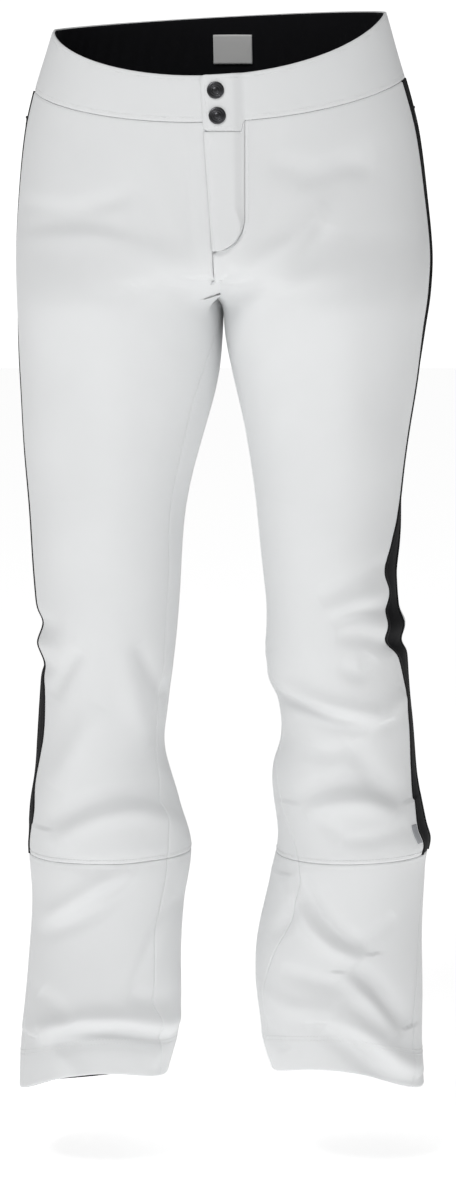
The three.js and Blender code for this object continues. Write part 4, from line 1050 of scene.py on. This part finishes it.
SHANK, HOLE, POST_TOP = 1.2, 1.55, -CLOTH - 2 * LAYER_GAP - LINING
RIM = LAYER_GAP + FLAP_BULGE + CLOTH + LAYER_GAP
SNAP_PARTS = {
    "post": ("garment", nickel, "nickel",
             [(0, POST_TOP - 1.6), (5.2, POST_TOP - 1.6), (5.6, POST_TOP - 0.4), (SHANK, POST_TOP - 0.4),
              (SHANK, 1.4),
              (0, 1.4)]),
    "stud": ("garment", nickel, "nickel",
             [(HOLE, 0.3), (4.4, 0.3), (4.4, 0.8), (2.4, 0.9), (2.8, 1.3), (2.5, 1.7), (HOLE, 1.7),
              (HOLE, 0.3)]),
    "socket": ("flap", nickel, "nickel",
               [(3.2, 1.2), (6.2, 1.2), (6.2, 2.4), (HOLE, 2.4), (HOLE, 2.0), (3.2, 2.0), (3.2, 1.2)]),
    "cap": ("flap", gunmetal, "gunmetal",
            [(0, 2.1), (SHANK, 2.1), (SHANK, RIM), (8, RIM), (8, RIM + 0.8), (7.6, RIM + 1.3),
             (6.7, RIM + 1.6),
             (5.9, RIM + 1.55), (5.6, RIM + 1.1), (5.0, RIM + 1.05), (4.7, RIM + 1.4), (3.9, RIM + 1.45),
             (3.5, RIM + 1.15), (3.0, RIM + 1.2), (2.6, RIM + 1.75), (1.6, RIM + 2.0), (0, RIM + 2.1)]),
}
for which, (x, z) in SNAPS.items():
    angle = angle_at_x("right", np.array(float(x)), np.array(float(z)))
    centre = face("right", angle, np.array(float(z)))
    axis = outward("right", angle, np.array(float(z)))
    for part, (body, look, slot, profile) in SNAP_PARTS.items():
        lathe(f"snap_{part}_turned_{which}", rounded(profile), centre, axis, look, body,
              f"snap_{part}_{which}")

# ---- Inside the fly, pockets, badge and label ----

FLY_TOP_Z, FLY_LENGTH = -107, 111
FLY_AXIS_X = float(centre_x(np.array(float(FLY_TOP_Z)))) + 5.5
fly_angle = angle_at_x("left", np.array(FLY_AXIS_X), np.array(float(FLY_TOP_Z)))
FLY_ORIGIN = face("left", fly_angle, np.array(float(FLY_TOP_Z)))
fly_tilt = -np.arctan(LEAN)
FLY_IN = np.array([0, np.cos(fly_tilt), np.sin(fly_tilt)])
FLY_UP = np.array([0, -np.sin(fly_tilt), np.cos(fly_tilt)])


def fly_strip(name, replaced, outline, thickness, ends, look):
    """A strip behind the fly: a smooth line through [across, depth] points, run down the zip's length."""
    line = smooth_route(outline, 6)
    down = np.linspace(*ends, 60)
    grid = (FLY_ORIGIN + line[None, :, :1] * np.array([1, 0, 0]) + line[None, :, 1:] * FLY_IN
            + down[:, None, None] * FLY_UP)
    slope = np.gradient(line, axis=0)
    across = unit(np.stack([slope[:, 0], slope[:, 1]], -1))
    inwards = -across[:, 1:] * np.array([1, 0, 0]) + across[:, :1] * FLY_IN
    piece = layered(name, grid, grid + inwards[None] * thickness, look)
    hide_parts(replaced)
    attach(piece, "garment")


fly_strip("fly_facing_cloth", "fly_facing_left",
          [(5, 1.1), (14.3, 1.1), (22, CLOTH + 2.1), (31, CLOTH + 2.9)],
          LINING, (-FLY_LENGTH - 2, -2), white_cloth)
fly_strip("fly_shield_cloth", "fly_shield",
          [(-16.2, CLOTH + 0.9), (-15.2, CLOTH + 1.1), (-14.3, 4.6), (-12.5, 6.4), (-4, 6.45), (4, 6.45),
           (12, 6.4)],
          LINING, (-FLY_LENGTH - 2, -2), white_cloth)
for side in SIDES:
    near, far = SIGN[side] * 3.5, SIGN[side] * 13.5
    low, high = min(near, far), max(near, far)
    fly_strip(f"fly_tape_{side}", f"fly_zip_tape_{side}",
              [(low, 2.6), (low + 4, 2.6), (high - 4, 2.6), (high, 2.6)],
              0.8, (-FLY_LENGTH - 2, 2), tape_cloth)

# The pocket bag leaves the front panel by BAG_SINK towards its foot.
BAG_SINK = 6
for side in SIDES:
    lead = past_piping(stripe_edge(side, 0), 1)
    inner = front_inner(side)
    grid = patch(lambda a: -256 + 14 * np.cos(a * 2), lambda a: level_height(side, a, -98),
                 lambda z: lerp(lead(z), inner(z), 0.04), lambda z: lerp(lead(z), inner(z), 0.5),
                 shares(100, 3.5), shares(150, 3.5))
    clothe(f"pocket_bag_cloth_{side}", f"pocket_bag_{side}", side, grid, lining,
           2 * LINING, -CLOTH - LAYER_GAP - BAG_SINK * smoothstep(-grid[1], 190, 235))

badge_low, badge_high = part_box("calf_badge")
badge_z = np.linspace(badge_low.z, badge_high.z, 40) / MM
badge_share = np.linspace(0, 1, 24)
lead_left = past_piping(stripe_edge("left", 0), 1)(badge_z)[:, None]
badge_angle = lead_left + angle_ahead(lerp(*BADGE_ACROSS, badge_share[None, :]), badge_z[:, None])
badge_points = np.broadcast_to(badge_z[:, None], badge_angle.shape)
up_edge = np.minimum(badge_z - badge_z[0], badge_z[-1] - badge_z)[:, None]
side_edge = (np.minimum(badge_share, 1 - badge_share) * 9)[None, :]
puff = LAYER_GAP + 0.6 * np.sqrt(np.clip(np.minimum(up_edge, side_edge) / 1.2, 0, 1)) + 0 * badge_angle
outer, normal = worn("left", badge_angle, badge_points, puff)
under, _ = worn("left", badge_angle, badge_points, puff * 0 + 0.15)
badge = layered("badge_patch", outer, under, badge_cloth)
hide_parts("calf_badge")
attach(badge, "garment")


def size_label():
    """A blank folded label behind the centre back, hanging from the waist edge of the facing."""
    offset = np.linspace(-19, 19, 24)[None, :]
    z = level_height("left", -QUARTER, WAIST_LEVEL - 16) + np.linspace(-28, 0, 20)[:, None] + 0 * offset
    side_left = outward("left", -QUARTER + 0 * z, z)
    middle = face("left", -QUARTER + 0 * z, z)
    deep = BACK_FACING - LINING - LAYER_GAP - 0.3
    sag = 0.4 * np.cos(offset / 19 * QUARTER) * np.linspace(1, 0, 20)[:, None]
    across = unit(np.cross(side_left, (0, 0, 1)))
    grid = middle + across * offset[..., None] + side_left * (deep - sag - offset**2 * 0.0022)[..., None]
    label = layered("size_label_cloth", grid, grid - side_left * 0.7, label_cloth)
    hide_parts("size_label")
    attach(label, "garment")


size_label()

# ---- Stitches ----

STITCH_PITCH, STITCH_LENGTH, THREAD = 3.2, 2.3, 0.3
STITCH_INSET = 3.2  # from the fly's edge


def stitch_row(points, normals):
    """Places along a line: evenly spaced centres, with the line's direction and the cloth's normal at
    each."""
    run = run_along(points[None], 1)[0]
    at = np.arange(STITCH_PITCH / 2, run[-1], STITCH_PITCH)
    sample = lambda values, where: np.stack([np.interp(where, run, values[:, i]) for i in range(3)], -1)
    ahead = unit(sample(points, at + 0.8) - sample(points, at - 0.8))
    normal = unit(sample(normals, at))
    return sample(points, at), ahead, normal


def stitches(name, rows):
    """All the stitches of a piece in one mesh: each is a short rod with rounded ends, half sunk in the
    cloth."""
    centres, ahead, normal = (np.concatenate(part) for part in zip(*(stitch_row(*row) for row in rows)))
    across = np.cross(normal, ahead)
    turn = np.linspace(0, 2 * np.pi, 6, endpoint=False)
    along = np.array([-1, -0.75, 0.75, 1]) * STITCH_LENGTH / 2
    girth = np.array([0.25, 1, 1, 0.25]) * THREAD
    wide, high = np.outer(girth, np.cos(turn)).ravel(), np.outer(girth, np.sin(turn)).ravel()
    local = np.stack([np.repeat(along, 6), wide, high], -1)
    axes = np.stack([ahead, across, normal], 1)
    points = (centres[:, None] + np.einsum("pk,skj->spj", local, axes)).reshape(-1, 3)
    corner = np.concatenate([np.arange(24).reshape(4, 6), np.arange(24).reshape(4, 6)[:, :1]], axis=1)
    sides = np.stack([corner[:-1, :-1], corner[:-1, 1:], corner[1:, 1:], corner[1:, :-1]], -1).reshape(-1, 4)
    caps = np.array([[3, 2, 1, 0], [5, 4, 3, 0], [18, 19, 20, 21], [18, 21, 22, 23]])
    one = np.vstack([sides, caps])
    if signed_volume(local, one) < 0:
        one = one[:, ::-1]
    if np.linalg.det(axes[0]) < 0:
        one = one[:, ::-1]
    faces = (one[None] + 24 * np.arange(len(centres))[:, None, None]).reshape(-1, 4)
    places = np.broadcast_to(local[:, :2][one] * MM, (len(centres), *one.shape, 2)).reshape(-1, 2)
    piece = mesh_object(name, points, faces, places)
    piece.data.materials.append(thread)
    return piece


def seam_line(side, angles, heights, above=0.1):
    """A line on the worn cloth, by its angles and heights."""
    return worn(side, angles, heights, np.full(np.shape(angles), float(above)))


CALF_ROW = np.array(CALF_SEAM_LEVEL + 4.0)  # the height of the stitching above the calf seam
garment_rows = []
for side in SIDES:
    ahead_of_stripe = float(past_piping(stripe_edge(side, 0), 1)(CALF_ROW))
    inner_edge = float(inseam(side, CALF_ROW))
    round_front = np.linspace(ahead_of_stripe + 0.03, inner_edge - 0.03, 300)
    behind = float(past_piping(stripe_edge(side, 1), -1)(CALF_ROW))
    round_back = np.linspace(inner_edge - 2 * np.pi + 0.03, behind - 0.03, 300)
    for turn in (round_front, round_back):
        garment_rows.append(seam_line(side, turn, np.full(turn.shape, float(CALF_ROW))))
    whole = np.linspace(0.1, 0.1 + 2 * np.pi, 700)
    for share in (HEM_ROW, HEM_ROW + 0.018):
        garment_rows.append(seam_line(side, whole, lerp(hem_height(side, whole), CALF_SEAM_LEVEL, share)))
    turn = np.linspace(-0.3, -QUARTER + 0.02, 300)
    garment_rows.append(seam_line(side, turn, yoke_seam(side, 4)(turn)))
    for shift in (2.0, WAISTBAND_DEPTH - 3.0):
        back_turn = np.linspace(-0.05, -QUARTER + 0.01, 300)
        garment_rows.append(seam_line(side, back_turn,
                                      level_height(side, back_turn, SEAM_LEVEL) + shift + 0.6))
for shift in (4.0, WAISTBAND_DEPTH - 4.0):
    end = float(angle_at_x("right", np.array(UNDERLAP_END_X - 4), np.array(-80.0)))
    turn = np.linspace(0.05, end, 300)
    low, high = level_height("right", turn, SEAM_LEVEL), level_height("right", turn, WAIST_LEVEL)
    z = low + 4.2 if shift < 10 else high - 4.0
    garment_rows.append(seam_line("right", turn, z, -0.15))
curve_turn = np.linspace(0.02, QUARTER - 0.02, 90)
j_z = np.concatenate([np.linspace(-105.5, CURVE_TOP_Z, 120), CURVE_TOP_Z - CURVE_DEPTH * np.sin(curve_turn)])
angle = np.minimum(angle_at_x("left", j_line(j_z) + STITCH_INSET, j_z), centre_angle("left", 1, j_z) - 0.01)
garment_rows.append(seam_line("left", angle, j_z))
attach(stitches("stitches", garment_rows), "garment")


def over_flap(x, z):
    """A line on the closed flap or tab, a thread's breadth above its outer face."""
    share = (x - free_edge(z)) / (FOLD_X - free_edge(z))
    return on_front(x, z, rise(share) + CLOTH - 0.2)


flap_z = np.linspace(-113, -214, 200)
flap_rows = [over_flap(free_edge(flap_z) + 4.2, flap_z)]
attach(stitches("flap_stitches", flap_rows), "flap")
tab_x = np.linspace(15, -16, 100)
tab_z = np.linspace(-106.5, -63.5, 120)
tab_end_z = tab_z[(tab_z > TAB_BOTTOM_Z + 4)]
tab_rows = [
    over_flap(free_edge(tab_end_z) + 4.2, tab_end_z),
    over_flap(tab_x, tab_low(tab_x) + 4.1),
    over_flap(tab_x, front_level(tab_x, WAIST_LEVEL) - 4.1),
]
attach(stitches("tab_stitches", tab_rows), "flap")
left_end = float(angle_at_x("left", np.array(FOLD_X + 8.0), np.array(-80.0)))
turn = np.linspace(0.05, left_end, 300)
band_rows = [
    seam_line("left", turn, level_height("left", turn, SEAM_LEVEL) + 4.2, -0.15),
    seam_line("left", turn, level_height("left", turn, WAIST_LEVEL) - 4.0, -0.15),
]
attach(stitches("band_stitches", band_rows), "garment")

# ---- Nodes of the frame that are shown as they are ----

LOOKS = {"fly_zip_teeth": white_plastic, "fly_zip_slider": nickel, "fly_zip_pull": nickel,
         "fly_zip_top": nickel,
         "fly_zip_bottom": nickel, "pocket_zip": black_plastic, "pocket_slider": black_plastic,
         "pocket_pull": black_plastic}
for name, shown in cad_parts.items():
    for start, look in LOOKS.items():
        if name.startswith(start):
            shown.data.materials.clear()
            shown.data.materials.append(look)

# ---- Floor, light and camera ----

FLOOR_Z = -1.12
bpy.ops.mesh.primitive_plane_add(size=20, location=(0, 3, FLOOR_Z))
floor = bpy.context.object
floor.name = "floor"
floor.data.materials.append(material("pale_floor", (0.93, 0.93, 0.93), 0.9, Specular_IOR_Level=0.1,
                                    Emission_Color=(1, 1, 1, 1), Emission_Strength=0.78))

world = bpy.data.worlds.new("studio")
bpy.context.scene.world = world
world.use_nodes = True
tree = world.node_tree
air = tree.nodes["Background"]
seen = tree.nodes.new("ShaderNodeBackground")
both = tree.nodes.new("ShaderNodeMixShader")
air.inputs["Color"].default_value = (1, 1, 1, 1)
air.inputs["Strength"].default_value = 0.20
seen.inputs["Color"].default_value = (1, 1, 1, 1)
seen.inputs["Strength"].default_value = 1.1
path = tree.nodes.new("ShaderNodeLightPath")
tree.links.new(path.outputs["Is Camera Ray"], both.inputs["Fac"])
tree.links.new(air.outputs["Background"], both.inputs[1])
tree.links.new(seen.outputs["Background"], both.inputs[2])
tree.links.new(both.outputs["Shader"], tree.nodes["World Output"].inputs["Surface"])


def soft_light(name, place, aim, breadth, power):
    """A square area light at a place, turned to face its aim."""
    lamp = bpy.data.lights.new(name, "AREA")
    lamp.size, lamp.energy = breadth, power
    lamp_object = bpy.data.objects.new(name, lamp)
    lamp_object.location = place
    lamp_object.rotation_euler = (Vector(aim) - Vector(place)).to_track_quat("-Z", "Y").to_euler()
    bpy.context.scene.collection.objects.link(lamp_object)


soft_light("key", (-1.1, -2.6, 2.6), (0, 0, -0.65), 1.1, 62)
soft_light("fill", (2.0, -3.0, -0.1), (0, 0, -0.6), 1.5, 8)

camera = bpy.data.objects.new("camera", bpy.data.cameras.new("camera"))
camera.location = (0.005, -3.6, -0.12)
camera.rotation_euler = (np.radians(90 - 7.0), 0, 0)
camera.data.lens = 112.18
camera.data.sensor_width = 36
bpy.context.scene.collection.objects.link(camera)
bpy.context.scene.camera = camera
bpy.context.scene.view_settings.view_transform = "Standard"
